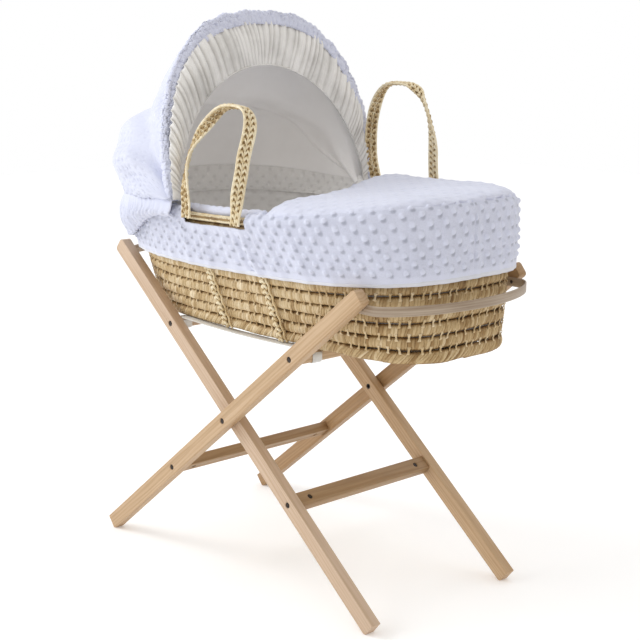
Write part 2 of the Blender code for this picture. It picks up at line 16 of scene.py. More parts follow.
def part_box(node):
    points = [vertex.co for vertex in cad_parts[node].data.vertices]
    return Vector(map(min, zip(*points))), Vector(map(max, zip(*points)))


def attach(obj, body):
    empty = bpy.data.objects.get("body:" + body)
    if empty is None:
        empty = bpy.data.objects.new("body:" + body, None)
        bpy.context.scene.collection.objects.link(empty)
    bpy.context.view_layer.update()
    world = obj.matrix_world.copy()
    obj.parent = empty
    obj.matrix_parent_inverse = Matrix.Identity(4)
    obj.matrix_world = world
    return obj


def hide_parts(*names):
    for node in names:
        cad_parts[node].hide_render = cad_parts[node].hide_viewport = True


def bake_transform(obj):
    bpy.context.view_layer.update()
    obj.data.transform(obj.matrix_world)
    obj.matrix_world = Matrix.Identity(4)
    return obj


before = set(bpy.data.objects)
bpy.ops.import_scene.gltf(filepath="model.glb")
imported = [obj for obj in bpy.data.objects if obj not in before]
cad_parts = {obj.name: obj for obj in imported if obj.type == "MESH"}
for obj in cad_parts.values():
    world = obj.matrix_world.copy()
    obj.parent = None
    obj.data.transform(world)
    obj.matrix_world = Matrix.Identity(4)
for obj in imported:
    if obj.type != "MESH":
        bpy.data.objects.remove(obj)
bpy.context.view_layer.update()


def middle(node):
    low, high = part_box(node)
    return (low + high) / 2


# The stand
PIVOT = middle("pivot_bolt_near")
LEG_ANGLE = math.radians(39.1)
EDGE_EASE = 0.0011  # how far a board's edges are rounded
BAND_THICK = 0.003
BAND_START = 0.318  # where a band's straight ends begin, along X from the pivot
BAND_EASE = 0.0007
WEB_THICK = 0.0014
RUNG_HALF_WIDE, RUNG_HALF_TALL = 0.0132, 0.0102  # of the webbing's turns round the top rungs

# The basket: superellipse rings from the base to the rim
BASKET_X = PIVOT.x + 0.030
BASE_Z = 0.4468
BASE_FOOT, BASE_HEAD, BASE_HALF_WIDTH, BASE_POWER = 0.362, 0.345, 0.147, 4.3
RIM_FOOT, RIM_HEAD, RIM_HALF_WIDTH, RIM_POWER = 0.358, 0.390, 0.2315, 2.84
RIM_LOW_Z, RIM_TILT, RIM_CURVE = 0.6613, 0.0249, 0.1254
SKIRT_HEM = 0.557  # share of the basket's height

# The handles: where the feet stand and where the wall's braids run, along X from the pivot; the
# height; the lean towards the middle; how far the top drifts to the foot end; and the share of
# the height where the plait turns its edge to the side
HANDLES = {
    "near": {
        "side": -1, "feet": (-0.042, 0.088), "straps": (-0.042, 0.104),
        "height": 0.190, "lean": math.radians(13), "drift": 0.027, "turn": 0.45,
    },
    "far": {
        "side": 1, "feet": (-0.057, 0.089), "straps": (-0.057, 0.089),
        "height": 0.212, "lean": math.radians(3), "drift": 0.0, "turn": 0.72,
    },
}
HANDLE_WIDE, HANDLE_POWER = 0.022, 3.3
HANDLE_SWELL, HANDLE_SWAY = 0.14, -0.0125
HANDLE_OUT, HANDLE_BELOW = 0.0085, 0.0015  # the swing axis, out from the wall and below the rim
NOTCH_PAST = 0.018  # how far a notch in the skirt reaches past a handle's feet

# The hood, about the axis through the feet of its hoop
HOOD_AXIS = Vector((PIVOT.x - 0.081, 0, 0.676))
HOOD_FRONT = math.radians(100)
HOOD_WIDE, HOOD_TALL, HOOD_POWER = 0.236, 0.306, 2.5
PIPING_WIDE, PIPING_TALL, PIPING_POWER = 0.219, 0.228, 1.95
HOOD_SWEEP = math.radians(78.5)  # from the hoop back and down to the rim at the head end
DIP_DEEP, DIP_AT, DIP_WIDE = 0.057, 0.37, 0.21  # the cloth's hollow behind the hoop
MOUTH_PLEATS, ELASTIC_PLEATS, FACING_PLEATS = 88, 64, 60
LINING_SEAM = 0.79  # share of the way down where the smooth lining meets dotted plush

# The raised dots of the plush: a staggered lattice
DOT_ALONG, DOT_ACROSS = 0.0145, 0.0132
DOT_HIGH = 0.0044

# Cloth thicknesses
PLUSH_THICK, SKIRT_THICK, COTTON_THICK, LINING_THICK = 0.0018, 0.0022, 0.0016, 0.0012
UPWARDS, CROSSWAYS = (0.0, 0.0, 1.0), (0.0, 1.0, 0.0)


# ---------------------------------------------------------------- numbers


def power(value, exponent):
    return np.sign(value) * np.abs(value) ** exponent


def smooth(value, low=0.0, high=1.0):
    t = np.clip((value - low) / (high - low), 0, 1)
    return t * t * (3 - 2 * t)


def ripple(seed, *coordinates, waves=7):
    """A smooth random field: sines in random directions, about -1 to 1."""
    draw = np.random.default_rng(seed)
    total = 0
    for _ in range(waves):
        way = draw.normal(size=len(coordinates))
        phase = draw.uniform(0, 2 * math.pi)
        total = total + np.sin(sum(w * c for w, c in zip(way, coordinates)) * 2 * math.pi + phase)
    return total / waves ** 0.5 / 1.2


def unit(vectors):
    return vectors / np.maximum(np.linalg.norm(vectors, axis=-1, keepdims=True), 1e-12)


def run_lengths(line):
    """The length along a line at each of its points."""
    return np.concatenate([[0], np.cumsum(np.linalg.norm(np.diff(line, axis=0), axis=1))])


def off_ends(at, ease):
    """0 at both ends of a line, rising to 1 over the given length."""
    return smooth(np.minimum(at, at[-1] - at), 0.0, ease)


def dots(along, across):
    """Height of the raised dots, 0 to 1, where the cloth lies along and across itself."""
    wave = np.cos(math.pi * along / DOT_ALONG) * np.cos(math.pi * across / DOT_ACROSS)
    return smooth(np.clip(wave, 0, 1), 0.28, 0.96)


def dots_and_painted_shade(along, across):
    """Tone of the raised dots, with painted shade: their tops are pale, the hollows between them are darker
    and a painted shadow lies under each one.
    """
    raised = dots(along, across)
    # painted shadow: the dot pattern shifted down and sideways, darkening the cloth under each dot
    under = dots(along - 0.0022, across + 0.0052)
    return raised, 0.66 + 0.34 * raised - 0.42 * under * (1 - raised)


def faded(tone, level, share):
    """A tone drawn towards a level: share 1 leaves it, 0 is the level itself."""
    return level + (tone - level) * share


def gathers(count, size, seed, uneven=0.45):
    """A phase along 0 to 1 that makes that many folds of uneven width."""
    draw = np.random.default_rng(seed)
    widths = 1 + draw.uniform(-uneven, uneven, count)
    edges = np.concatenate([[0], np.cumsum(widths) / widths.sum()])
    return np.interp(size, edges, np.arange(count + 1))


def pleats(fold):
    """Height of the pleats, 0 to 1, at each phase that gathers gives."""
    return np.abs(np.sin(math.pi * fold))


# ---------------------------------------------------------------- meshes


def new_object(name, data):
    made = bpy.data.objects.new(name, data)
    bpy.context.scene.collection.objects.link(made)
    return made


def recoloured(data, look):
    data.materials.clear()
    data.materials.append(look)


class Mesh:
    """Collects bodies of points and faces, with a tone for each point, into one object."""

    def __init__(self):
        self.points, self.faces, self.tones, self.count = [], [], [], 0

    def add(self, points, faces, tone=0.5):
        points = np.asarray(points, float).reshape(-1, 3)
        self.points.append(points)
        self.faces.extend([[i + self.count for i in face] for face in faces])
        self.tones.append(np.broadcast_to(np.asarray(tone, float).reshape(-1), (len(points),)))
        self.count += len(points)

    def data(self, name, look, smooth_shaded=True):
        data = bpy.data.meshes.new(name)
        data.from_pydata(np.concatenate(self.points).tolist(), [], self.faces)
        tone = data.attributes.new("tone", "FLOAT", "POINT")
        tone.data.foreach_set("value", np.concatenate(self.tones).astype(np.float32))
        if smooth_shaded:
            data.shade_smooth()
        data.materials.append(look)
        data.validate()
        return data

    def made(self, name, look, smooth_shaded=True):
        return new_object(name, self.data(name, look, smooth_shaded))


def patch(rows, columns, first=0, closed=False, flip=False):
    """Quads over a grid of points, numbered row by row."""
    faces = []
    for i in range(rows - 1):
        a, b = first + i * columns, first + (i + 1) * columns
        for j in range(columns if closed else columns - 1):
            k = (j + 1) % columns
            faces.append([a + j, a + k, b + k, b + j])
    return [face[::-1] for face in faces] if flip else faces


def facing_out(points, closed=False):
    """Unit normals of a grid of points: along its columns crossed with up its rows."""
    if closed:
        along = np.roll(points, -1, 1) - np.roll(points, 1, 1)
    else:
        along = np.gradient(points, axis=1)
    return unit(np.cross(along, np.gradient(points, axis=0)))


def raised_by(points, height, closed=False):
    """A grid of points moved out along its own normals."""
    return points + facing_out(points, closed) * height[..., None]


def shell_into(mesh, front, thickness, closed=False, tone=0.5):
    """A cloth or wall: the front grid, a back one behind it, and the edges between."""
    rows, columns = front.shape[:2]
    back = front - facing_out(front, closed) * thickness
    total = rows * columns
    faces = patch(rows, columns, 0, closed) + patch(rows, columns, total, closed, True)
    for row, flip in ((0, True), (rows - 1, False)):
        for j in range(columns if closed else columns - 1):
            k = (j + 1) % columns
            a, b = row * columns + j, row * columns + k
            face = [a, b, b + total, a + total]
            faces.append(face[::-1] if flip else face)
    if not closed:
        for column, flip in ((0, False), (columns - 1, True)):
            for i in range(rows - 1):
                a, b = i * columns + column, (i + 1) * columns + column
                face = [a, b, b + total, a + total]
                faces.append(face[::-1] if flip else face)
    tones = np.broadcast_to(np.asarray(tone, float), (rows, columns)).reshape(-1)
    mesh.add(np.concatenate([front.reshape(-1, 3), back.reshape(-1, 3)]), faces, np.tile(tones, 2))


def shell(name, look, front, thickness, closed=False, tone=0.5):
    mesh = Mesh()
    shell_into(mesh, front, thickness, closed, tone)
    return mesh.made(name, look)


def sweep_into(mesh, path, across, up, section, closed=False, tone=0.5):
    """A section, its points given across and up, carried along a path."""
    section = np.asarray(section, float)
    if section.ndim == 2:
        section = np.broadcast_to(section, (len(path), *section.shape))
    count, sides = section.shape[:2]
    points = (
        path[:, None] + across[:, None] * section[..., :1] + up[:, None] * section[..., 1:]
    )
    faces = []
    for i in range(count if closed else count - 1):
        a, b = i * sides, (i + 1) % count * sides
        faces += [[a + j, a + (j + 1) % sides, b + (j + 1) % sides, b + j] for j in range(sides)]
    if not closed:
        faces.append(list(range(sides))[::-1])
        faces.append([(count - 1) * sides + j for j in range(sides)])
    tone = np.asarray(tone, float)
    if tone.ndim == 1:
        tone = np.repeat(tone, sides)
    mesh.add(points, faces, tone)


def circle(radius, sides, squash=1.0):
    turn = np.arange(sides) * 2 * math.pi / sides
    return np.stack([np.cos(turn) * radius, np.sin(turn) * radius * squash], -1)


def tangents(path, closed=False):
    if closed:
        return unit(np.roll(path, -1, 0) - np.roll(path, 1, 0))
    return unit(np.gradient(path, axis=0))


def same_along(path, way):
    """One direction, repeated for every point of a path."""
    return np.tile(way, (len(path), 1))


def frames_along(path, side, closed=False):
    """Across and up directions of a path, across kept nearest the given side directions."""
    tangent = tangents(path, closed)
    side = np.broadcast_to(side, path.shape)
    across = unit(side - tangent * (side * tangent).sum(-1, keepdims=True))
    return across, np.cross(tangent, across)


def respaced(path, step, closed=False):
    """The same line with points a step apart, and the length at each."""
    if closed:
        path = np.concatenate([path, path[:1]])
    lengths = run_lengths(path)
    count = max(3, round(lengths[-1] / step))
    at = np.linspace(0, lengths[-1], count, endpoint=not closed)
    return np.stack([np.interp(at, lengths, path[:, k]) for k in range(3)], -1), at


def plait_into(mesh, path, side, wide, thick, pitch, seed, closed=False, ground=True, strands=3):
    """A flat plait along a path; side is across it. Two strands make a chain with open eyes."""
    path, at = respaced(path, pitch / 14, closed)
    if len(side) != len(path):
        old = np.linspace(0, 1, len(side))
        new = np.linspace(0, 1, len(path))
        side = unit(np.stack([np.interp(new, old, side[:, k]) for k in range(3)], -1))
    across, up = frames_along(path, side, closed)
    whole = at[-1] + (pitch / 14 if closed else 0)
    phase = at / whole * max(1, round(whole / pitch)) * 2 * math.pi + seed
    draw = np.random.default_rng(seed)
    strand_wide, strand_thick = wide * 0.35 / strands, thick * 0.30
    for strand in range(strands):
        angle = phase + 2 * math.pi * strand / strands
        shift = (wide / 2 - strand_wide) * np.sin(angle)
        rise = (thick / 2 - strand_thick) * np.sin(2 * angle)
        line = path + across * shift[:, None] + up * rise[:, None]
        own_across, own_up = frames_along(line, across, closed)
        swell = 1 + 0.15 * ripple(seed + strand, at / 0.02)
        section = circle(strand_wide, 8)[None] * swell[:, None, None]
        section = section * np.array([1, strand_thick / strand_wide])
        # painted shade: a strand is lighter where it rises over the others and darker where it passes under
        tone = draw.uniform(0.50, 0.78) + 0.34 * np.sin(2 * angle)
        tone = tone + 0.24 * ripple(seed + 9 + strand, at / 0.02)
        sweep_into(mesh, line, own_across, own_up, section, closed, np.clip(tone, 0.05, 1))
    if ground:
        # painted shade: a dark flat strip under the strands, seen in the gaps between them
        flat = circle(wide * 0.42, 8, thick * 0.2 / wide)
        sweep_into(mesh, path, across, up, flat, closed, 0.0)


def cord_into(mesh, path, radius, seed, wrap=0.004, closed=False, tone=0.8):
    """A thin cord wrapped round with a fine strip, which shows as shallow turns."""
    path, at = respaced(path, wrap / 4, closed)
    across, up = frames_along(path, np.array([0.31, 0.2, 0.93]), closed)
    swell = 1 + 0.07 * np.sin(at / wrap * 2 * math.pi) + 0.05 * ripple(seed, at / 0.03)
    section = circle(radius, 8)[None] * swell[:, None, None]
    sweep_into(mesh, path, across, up, section, closed, tone + 0.12 * ripple(seed + 1, at / 0.02))


# ---------------------------------------------------------------- materials


class Nodes:
    """A node tree, with helpers for the few nodes used here."""

    def __init__(self, tree):
        self.tree = tree

    def node(self, kind, inputs=(), **settings):
        made = self.tree.nodes.new("ShaderNode" + kind)
        for key, value in settings.items():
            setattr(made, key, value)
        for socket, value in dict(inputs).items():
            if isinstance(value, bpy.types.NodeSocket):
                self.tree.links.new(value, made.inputs[socket])
            else:
                made.inputs[socket].default_value = value
        return made

    def place(self, scale=(1, 1, 1), turn=(0, 0, 0), shift=(0, 0, 0)):
        """Object coordinates, which are the frame's own metres."""
        where = self.node("TexCoord").outputs["Object"]
        inputs = {"Vector": where, "Location": shift, "Rotation": turn, "Scale": scale}
        return self.node("Mapping", inputs).outputs["Vector"]

    def noise(self, vector, scale, detail, rough):
        inputs = {"Vector": vector, "Scale": scale, "Detail": detail, "Roughness": rough}
        return self.node("TexNoise", inputs).outputs["Fac"]

    def tone(self):
        return self.node("Attribute", attribute_name="tone").outputs["Fac"]

    def math(self, operation, one, two):
        return self.node("Math", {0: one, 1: two}, operation=operation).outputs[0]

    def spread(self, value, low, high, to_low=0.0, to_high=1.0):
        inputs = {"Value": value, "From Min": low, "From Max": high, "To Min": to_low, "To Max": to_high}
        return self.node("MapRange", inputs).outputs["Result"]

    def ramp(self, value, stops):
        made = self.node("ValToRGB", {"Fac": value})
        elements = made.color_ramp.elements
        while len(elements) < len(stops):
            elements.new(0.5)
        for element, (at, colour) in zip(elements, stops):
            element.position = at
            element.color = (*colour, 1)
        return made.outputs["Color"]

    def mix(self, factor, one, two, blend="MIX"):
        made = self.node("Mix", data_type="RGBA", blend_type=blend)
        for socket, value in (("Factor", factor), ("A", one), ("B", two)):
            targets = [s for s in made.inputs if s.name == socket and s.enabled]
            if isinstance(value, bpy.types.NodeSocket):
                self.tree.links.new(value, targets[0])
            elif socket == "Factor":
                targets[0].default_value = value
            else:
                targets[0].default_value = (*value, 1)
        return [s for s in made.outputs if s.enabled][0]


class Look(Nodes):
    """A node material on the Principled shader."""

    def __init__(self, name, roughness, **constants):
        self.material = bpy.data.materials.new(name)
        self.material.use_nodes = True
        super().__init__(self.material.node_tree)
        self.shader = self.tree.nodes["Principled BSDF"]
        self.shader.inputs["Roughness"].default_value = roughness
        for socket, value in constants.items():
            self.shader.inputs[socket.replace("_", " ")].default_value = value
        self.bumps = []

    def cloud(self, scale, detail, rough):
        """Noise with the same grain every way."""
        return self.noise(self.place((scale, scale, scale)), 1.0, detail, rough)

    def colour(self, value):
        if isinstance(value, tuple):
            self.shader.inputs["Base Color"].default_value = (*value, 1)
        else:
            self.tree.links.new(value, self.shader.inputs["Base Color"])

    def roughness(self, value):
        self.tree.links.new(value, self.shader.inputs["Roughness"])

    def bump(self, height, distance, strength=1.0):
        inputs = {"Height": height, "Distance": distance, "Strength": strength}
        made = self.node("Bump", inputs)
        if self.bumps:
            self.tree.links.new(self.bumps[-1].outputs["Normal"], made.inputs["Normal"])
        self.bumps.append(made)
        self.tree.links.new(made.outputs["Normal"], self.shader.inputs["Normal"])


def pine(name, seed, pale, dark, turn=(0, 0, 0)):
    """Planed pine, its grain along the board's own X: rings and fine streaks."""
    look = Look(name, 0.5, Specular_IOR_Level=0.35)
    shift = (seed * 1.7, seed * 0.37, seed * 0.53)
    board = look.place(turn=turn, shift=shift)
    stretched = look.node("Mapping", {"Vector": board, "Scale": (1.0, 14, 14)}).outputs["Vector"]
    drift = look.noise(stretched, 2.2, 3, 0.5)
    rings = look.node(
        "TexWave", {"Vector": stretched, "Scale": 3.4, "Distortion": 9, "Detail": 2.5,
                    "Detail Scale": 1.1, "Detail Roughness": 0.5, "Phase Offset": seed},
        wave_type="BANDS", bands_direction="Z", wave_profile="SIN",
    ).outputs["Fac"]
    fine = look.node("Mapping", {"Vector": board, "Scale": (7, 420, 420)}).outputs["Vector"]
    streak = look.noise(fine, 1.0, 5, 0.65)
    grain = look.math("MULTIPLY", look.spread(rings, 0.35, 1.0), look.spread(drift, 0.30, 0.70, 0.25, 1.0))
    mellow = tuple((p * 2 + d) / 3 for p, d in zip(pale, dark))
    base = look.ramp(look.spread(drift, 0.25, 0.75), [(0, pale), (1, mellow)])
    tinted = look.mix(look.math("MULTIPLY", grain, 0.62), base, dark)
    streaked = look.mix(look.spread(streak, 0.45, 0.85, 0.0, 0.45), tinted, tuple(d * 0.75 for d in dark))
    look.colour(streaked)
    look.roughness(look.spread(streak, 0.2, 0.9, 0.42, 0.62))
    look.bump(streak, 0.00022, 0.35)
    look.bump(rings, 0.0002, 0.2)
    return look.material


def straw(name, stops, fibre=(480, 480, 60), gloss=0.6):
    """Split palm leaf: each strand has its own tone, with fine fibres along it."""
    look = Look(name, gloss, Specular_IOR_Level=0.4)
    fibres = look.noise(look.place(fibre), 1.0, 4, 0.6)
    blotch = look.cloud(28, 3, 0.5)
    value = look.math("ADD", look.math("MULTIPLY", look.tone(), 0.62), look.math("MULTIPLY", fibres, 0.30))
    value = look.math("ADD", value, look.spread(blotch, 0.25, 0.75, -0.06, 0.14))
    look.colour(look.ramp(value, stops))
    look.roughness(look.spread(fibres, 0.25, 0.8, gloss + 0.1, gloss - 0.12))
    look.bump(fibres, 0.0009, 0.6)
    return look.material


def plush(name, low, high, sheen=0.35):
    """Short-pile plush: the pile is finer than the raised dots, which are in the mesh."""
    look = Look(name, 0.92, Specular_IOR_Level=0.2, Sheen_Weight=sheen, Sheen_Roughness=0.5)
    pile = look.cloud(650, 5, 0.7)
    drift = look.cloud(22, 3, 0.5)
    height = look.math("ADD", look.tone(), look.spread(pile, 0.2, 0.8, -0.18, 0.18))
    height = look.math("ADD", height, look.spread(drift, 0.3, 0.7, -0.08, 0.08))
    look.colour(look.ramp(height, [(0.0, low), (0.75, high)]))
    look.bump(pile, 0.0011, 0.75)
    return look.material


def cotton(name, low, high, thread=900):
    """Plain-woven cotton, soft and matt."""
    look = Look(name, 0.85, Specular_IOR_Level=0.25, Sheen_Weight=0.15, Sheen_Roughness=0.5)
    settings = {"Vector": look.place(), "Scale": thread / 3.2, "Distortion": 1.5, "Detail": 1}
    warp, weft = (
        look.node("TexWave", settings, wave_type="BANDS", bands_direction=way).outputs["Fac"]
        for way in ("Z", "Y")
    )
    weave = look.math("MULTIPLY", look.math("ADD", warp, weft), 0.5)
    soft = look.cloud(16, 4, 0.55)
    value = look.math("ADD", look.math("MULTIPLY", soft, 0.75), look.math("MULTIPLY", look.tone(), 0.35))
    look.colour(look.ramp(value, [(0.25, low), (0.75, high)]))
    look.bump(weave, 0.00012, 0.35)
    look.bump(soft, 0.004, 0.25)
    return look.material


def painted_glow(material, colour, strength):
    """A faint glow of its own: painted light, standing in for the daylight that thin pale cloth lets
    through.
    """
    shader = material.node_tree.nodes["Principled BSDF"]
    shader.inputs["Emission Color"].default_value = (*colour, 1)
    shader.inputs["Emission Strength"].default_value = strength


def steel(name, colour, roughness=0.42):
    look = Look(name, roughness, Metallic=0.85)
    scuff = look.cloud(400, 4, 0.6)
    dark, bright = (tuple(c * share for c in colour) for share in (0.7, 1.5))
    look.colour(look.ramp(scuff, [(0.3, dark), (0.8, bright)]))
    look.roughness(look.spread(scuff, 0.3, 0.8, roughness - 0.1, roughness + 0.18))
    look.bump(scuff, 0.0001, 0.4)
    return look.material


def strip_wood(name, pale, dark):
    """Thin bent strip: a fine grain along its length, given by each point's tone."""
    look = Look(name, 0.42, Specular_IOR_Level=0.45)
    where = look.node("TexCoord").outputs["Object"]
    parts = look.node("SeparateXYZ", {"Vector": where})
    along = look.node("CombineXYZ", {"X": look.math("MULTIPLY", look.tone(), 6.0),
                                     "Y": look.math("MULTIPLY", parts.outputs["Z"], 380.0),
                                     "Z": 0.3}).outputs["Vector"]
    grain = look.noise(along, 1.0, 5, 0.6)
    cloud = look.cloud(9, 3, 0.5)
    value = look.math("ADD", look.math("MULTIPLY", grain, 0.75), look.math("MULTIPLY", cloud, 0.25))
    look.colour(look.ramp(value, [(0.3, dark), (0.65, pale)]))
    look.roughness(look.spread(grain, 0.3, 0.8, 0.36, 0.55))
    look.bump(grain, 0.0002, 0.4)
    return look.material


STRAW_STOPS = [
    (0.06, (0.10, 0.042, 0.010)), (0.28, (0.31, 0.185, 0.068)),
    (0.52, (0.56, 0.41, 0.215)), (0.86, (0.84, 0.71, 0.50)),
]
PALE_STRAW_STOPS = [
    (0.06, (0.09, 0.045, 0.013)), (0.30, (0.36, 0.235, 0.095)),
    (0.56, (0.68, 0.53, 0.30)), (0.85, (0.90, 0.81, 0.60)),
]

LOOKS = {
    "palm": straw("woven_palm", STRAW_STOPS),
    "palm_braid": straw("palm_braid", PALE_STRAW_STOPS, (700, 700, 260)),
    "plush": plush("dimple_plush", (0.27, 0.285, 0.36), (0.70, 0.725, 0.86)),
    "inner_plush": plush("inner_plush", (0.55, 0.53, 0.50), (0.84, 0.825, 0.80), 0.1),
    "lining": cotton("grey_lining", (0.82, 0.80, 0.78), (0.90, 0.885, 0.865)),
    "facing": cotton("gathered_facing", (0.40, 0.385, 0.36), (0.88, 0.865, 0.84)),
    "cover": cotton("mattress_cotton", (0.66, 0.66, 0.67), (0.76, 0.76, 0.77)),
    "hem": cotton("white_binding", (0.62, 0.63, 0.68), (0.74, 0.75, 0.81)),
    "webbing": cotton("webbing", (0.60, 0.59, 0.56), (0.80, 0.79, 0.76)),
    "steel": steel("dark_steel", (0.06, 0.05, 0.045)),
    "wire": steel("hoop_wire", (0.55, 0.55, 0.56), 0.35),
    "strip": strip_wood("bent_strip", (0.47, 0.38, 0.29), (0.24, 0.165, 0.105)),
}
# painted light: a faint glow on the lining and the inner plush, for light coming through the cloth
painted_glow(LOOKS["lining"], (0.93, 0.90, 0.88), 0.08)
painted_glow(LOOKS["inner_plush"], (0.93, 0.90, 0.88), 0.05)


# ---------------------------------------------------------------- the basket's surface


def ring(share, out):
    """Reach to the foot and to the head, half width and exponent of the ring at a height."""
    foot = BASE_FOOT + (RIM_FOOT - BASE_FOOT) * share + out
    head = BASE_HEAD + (RIM_HEAD - BASE_HEAD) * share + out
    half = BASE_HALF_WIDTH + (RIM_HALF_WIDTH - BASE_HALF_WIDTH) * share + out
    return foot, head, half, BASE_POWER + (RIM_POWER - BASE_POWER) * share


def wall(turn, share, out, lift=0.0):
    """A point of the basket: turn round it, share of its height, out from the wall, lift up."""
    turn, share = np.asarray(turn, float), np.asarray(share, float)
    c, s = np.cos(turn), np.sin(turn)
    foot, head, half, exponent = ring(share, out)
    x = BASKET_X + np.where(c > 0, foot, head) * power(c, 2 / exponent)
    y = half * power(s, 2 / exponent)
    z = BASE_Z + (rim_z(x) - BASE_Z) * share + lift
    return np.stack(np.broadcast_arrays(x, y, z), -1)


def rim_z(x):
    x = x - PIVOT.x
    return RIM_LOW_Z + RIM_TILT * x + RIM_CURVE * x * x


def wall_y(x, share, out):
    """Half the basket's width at a place along it."""
    foot, head, half, exponent = ring(share, out)
    length = np.where(x > BASKET_X, foot, head)
    return half * np.clip(1 - np.abs((x - BASKET_X) / length) ** exponent, 0, 1) ** (1 / exponent)


def wall_line(x, side, share, out):
    """Points of the wall's near or far side at places along the basket."""
    return np.stack([x, side * wall_y(x, share, out), BASE_Z + (rim_z(x) - BASE_Z) * share], -1)


def quarter_turns():
    """Turns round the basket, closest together where a superellipse moves fastest."""
    t = np.linspace(0, 1, 700)[:-1]
    eased = t ** 2.2 / (t ** 2.2 + (1 - t) ** 2.2)
    return np.concatenate([(k + eased) * math.pi / 2 for k in range(4)] + [[2 * math.pi]])


TURNS = quarter_turns()


def lengths_round(share, out):
    return run_lengths(wall(TURNS, share, out))


def even_turns(count, share=0.8, out=0.0):
    """Turns that space points evenly round the basket, and the way round at each."""
    lengths = lengths_round(share, out)
    at = np.linspace(0, lengths[-1], count, endpoint=False)
    return np.interp(at, lengths, TURNS), at


def wall_frame(turn, share, out):
    """Point, way along, way up the wall and way out of it."""
    step = 1e-3
    along = unit(wall(turn + step, share, out) - wall(turn - step, share, out))
    up = unit(wall(turn, share + step, out) - wall(turn, share - step, out))
    return wall(turn, share, out), along, up, np.cross(along, up)


# ---------------------------------------------------------------- the stand


def rounded_copy(node, look, body):
    """The CAD board with its long edges eased, as planed and sanded pine."""
    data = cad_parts[node].data.copy()
    bm = bmesh.new()
    bm.from_mesh(data)
    bmesh.ops.remove_doubles(bm, verts=bm.verts, dist=1e-5)
    bmesh.ops.dissolve_limit(bm, angle_limit=math.radians(2), verts=bm.verts, edges=bm.edges)
    bm.to_mesh(data)
    bm.free()
    recoloured(data, look)
    made = new_object(node + "_board", data)
    soft = made.modifiers.new("eased edges", "BEVEL")
    soft.width = EDGE_EASE
    soft.segments = 2
    soft.limit_method = "ANGLE"
    soft.angle_limit = math.radians(35)
    soft.harden_normals = True
    data.shade_smooth()
    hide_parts(node)
    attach(made, body)


def build_boards():
    """Legs and rungs in four tones of pine, each with its grain along its length; the far outer leg's darker
    brown is painted shade.
    """
    honey = ((0.60, 0.43, 0.27), (0.40, 0.235, 0.105))
    pinkish = ((0.64, 0.485, 0.355), (0.47, 0.31, 0.185))
    # painted shade: a darker brown for the far outer leg, which lies away from the light
    shaded_brown = ((0.42, 0.265, 0.135), (0.27, 0.145, 0.058))
    amber = ((0.42, 0.28, 0.155), (0.28, 0.155, 0.065))
    inner, outer = (0, math.pi - LEG_ANGLE, 0), (0, LEG_ANGLE, 0)
    crossways = (0, 0, -math.pi / 2)
    boards = [
        ("inner_leg_near", "inner_frame", pinkish, inner),
        ("inner_leg_far", "inner_frame", honey, inner),
        ("outer_leg_near", "outer_frame", honey, outer),
        ("outer_leg_far", "outer_frame", shaded_brown, outer),
        ("inner_top_rung", "inner_frame", pinkish, crossways),
        ("inner_low_rung", "inner_frame", amber, crossways),
        ("outer_top_rung", "outer_frame", honey, crossways),
        ("outer_low_rung", "outer_frame", amber, crossways),
    ]
    for seed, (node, body, (pale, dark), turn) in enumerate(boards, 1):
        rounded_copy(node, pine("pine_" + node, seed, pale, dark, turn), body)


def build_fasteners():
    """Bolts, nuts, washers, screws and the hood's hoop keep their CAD shapes."""
    for name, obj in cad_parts.items():
        if any(word in name for word in ("_bolt_", "_nut_", "_washer_", "_screw_", "hood_hoop")):
            look = LOOKS["wire"] if name == "hood_hoop" else LOOKS["steel"]
            recoloured(obj.data, look)
            obj.data.shade_smooth()
            obj.data.set_sharp_from_angle(angle=math.radians(35))


def build_bands():
    """The thin bent strips round the basket's ends, between the legs, with eased edges."""
    # node, end, the legs' inner face, where the bend begins, how far it reaches, body
    bands = (
        ("foot_band", 1, 0.182, 0.348, 0.069, "outer_frame"),
        ("head_band", -1, 0.160, 0.337, 0.063, "inner_frame"),
    )
    for name, end, leg_face, bend, reach, body in bands:
        low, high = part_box(name)
        half = leg_face - 0.0003 - BAND_THICK / 2
        turn = np.linspace(-math.pi / 2, math.pi / 2, 60)
        bow = bend + reach * np.clip(np.cos(turn), 0, 1) ** 1.25
        straight = np.linspace(BAND_START, bend, 8)
        x = np.concatenate([straight[:-1], bow, straight[-2::-1]])
        y = np.concatenate([np.full(7, -half), half * np.sin(turn), np.full(7, half)])
        path = np.stack([PIVOT.x + end * x, y, np.full(len(x), (low.z + high.z) / 2)], -1)
        up = same_along(path, UPWARDS)
        out = np.cross(up, tangents(path))
        wide, deep, ease = (high.z - low.z) / 2, BAND_THICK / 2, BAND_EASE
        side = [(-wide, -deep + ease), (-wide, deep - ease), (-wide + ease, deep), (wide - ease, deep)]
        section = side + [(-across, -along) for across, along in side]
        mesh = Mesh()
        sweep_into(mesh, path, up, out, section, tone=run_lengths(path))
        made = mesh.made(name + "_strip", LOOKS["strip"])
        made.data.set_sharp_from_angle(angle=math.radians(50))
        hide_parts(name)
        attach(made, body)


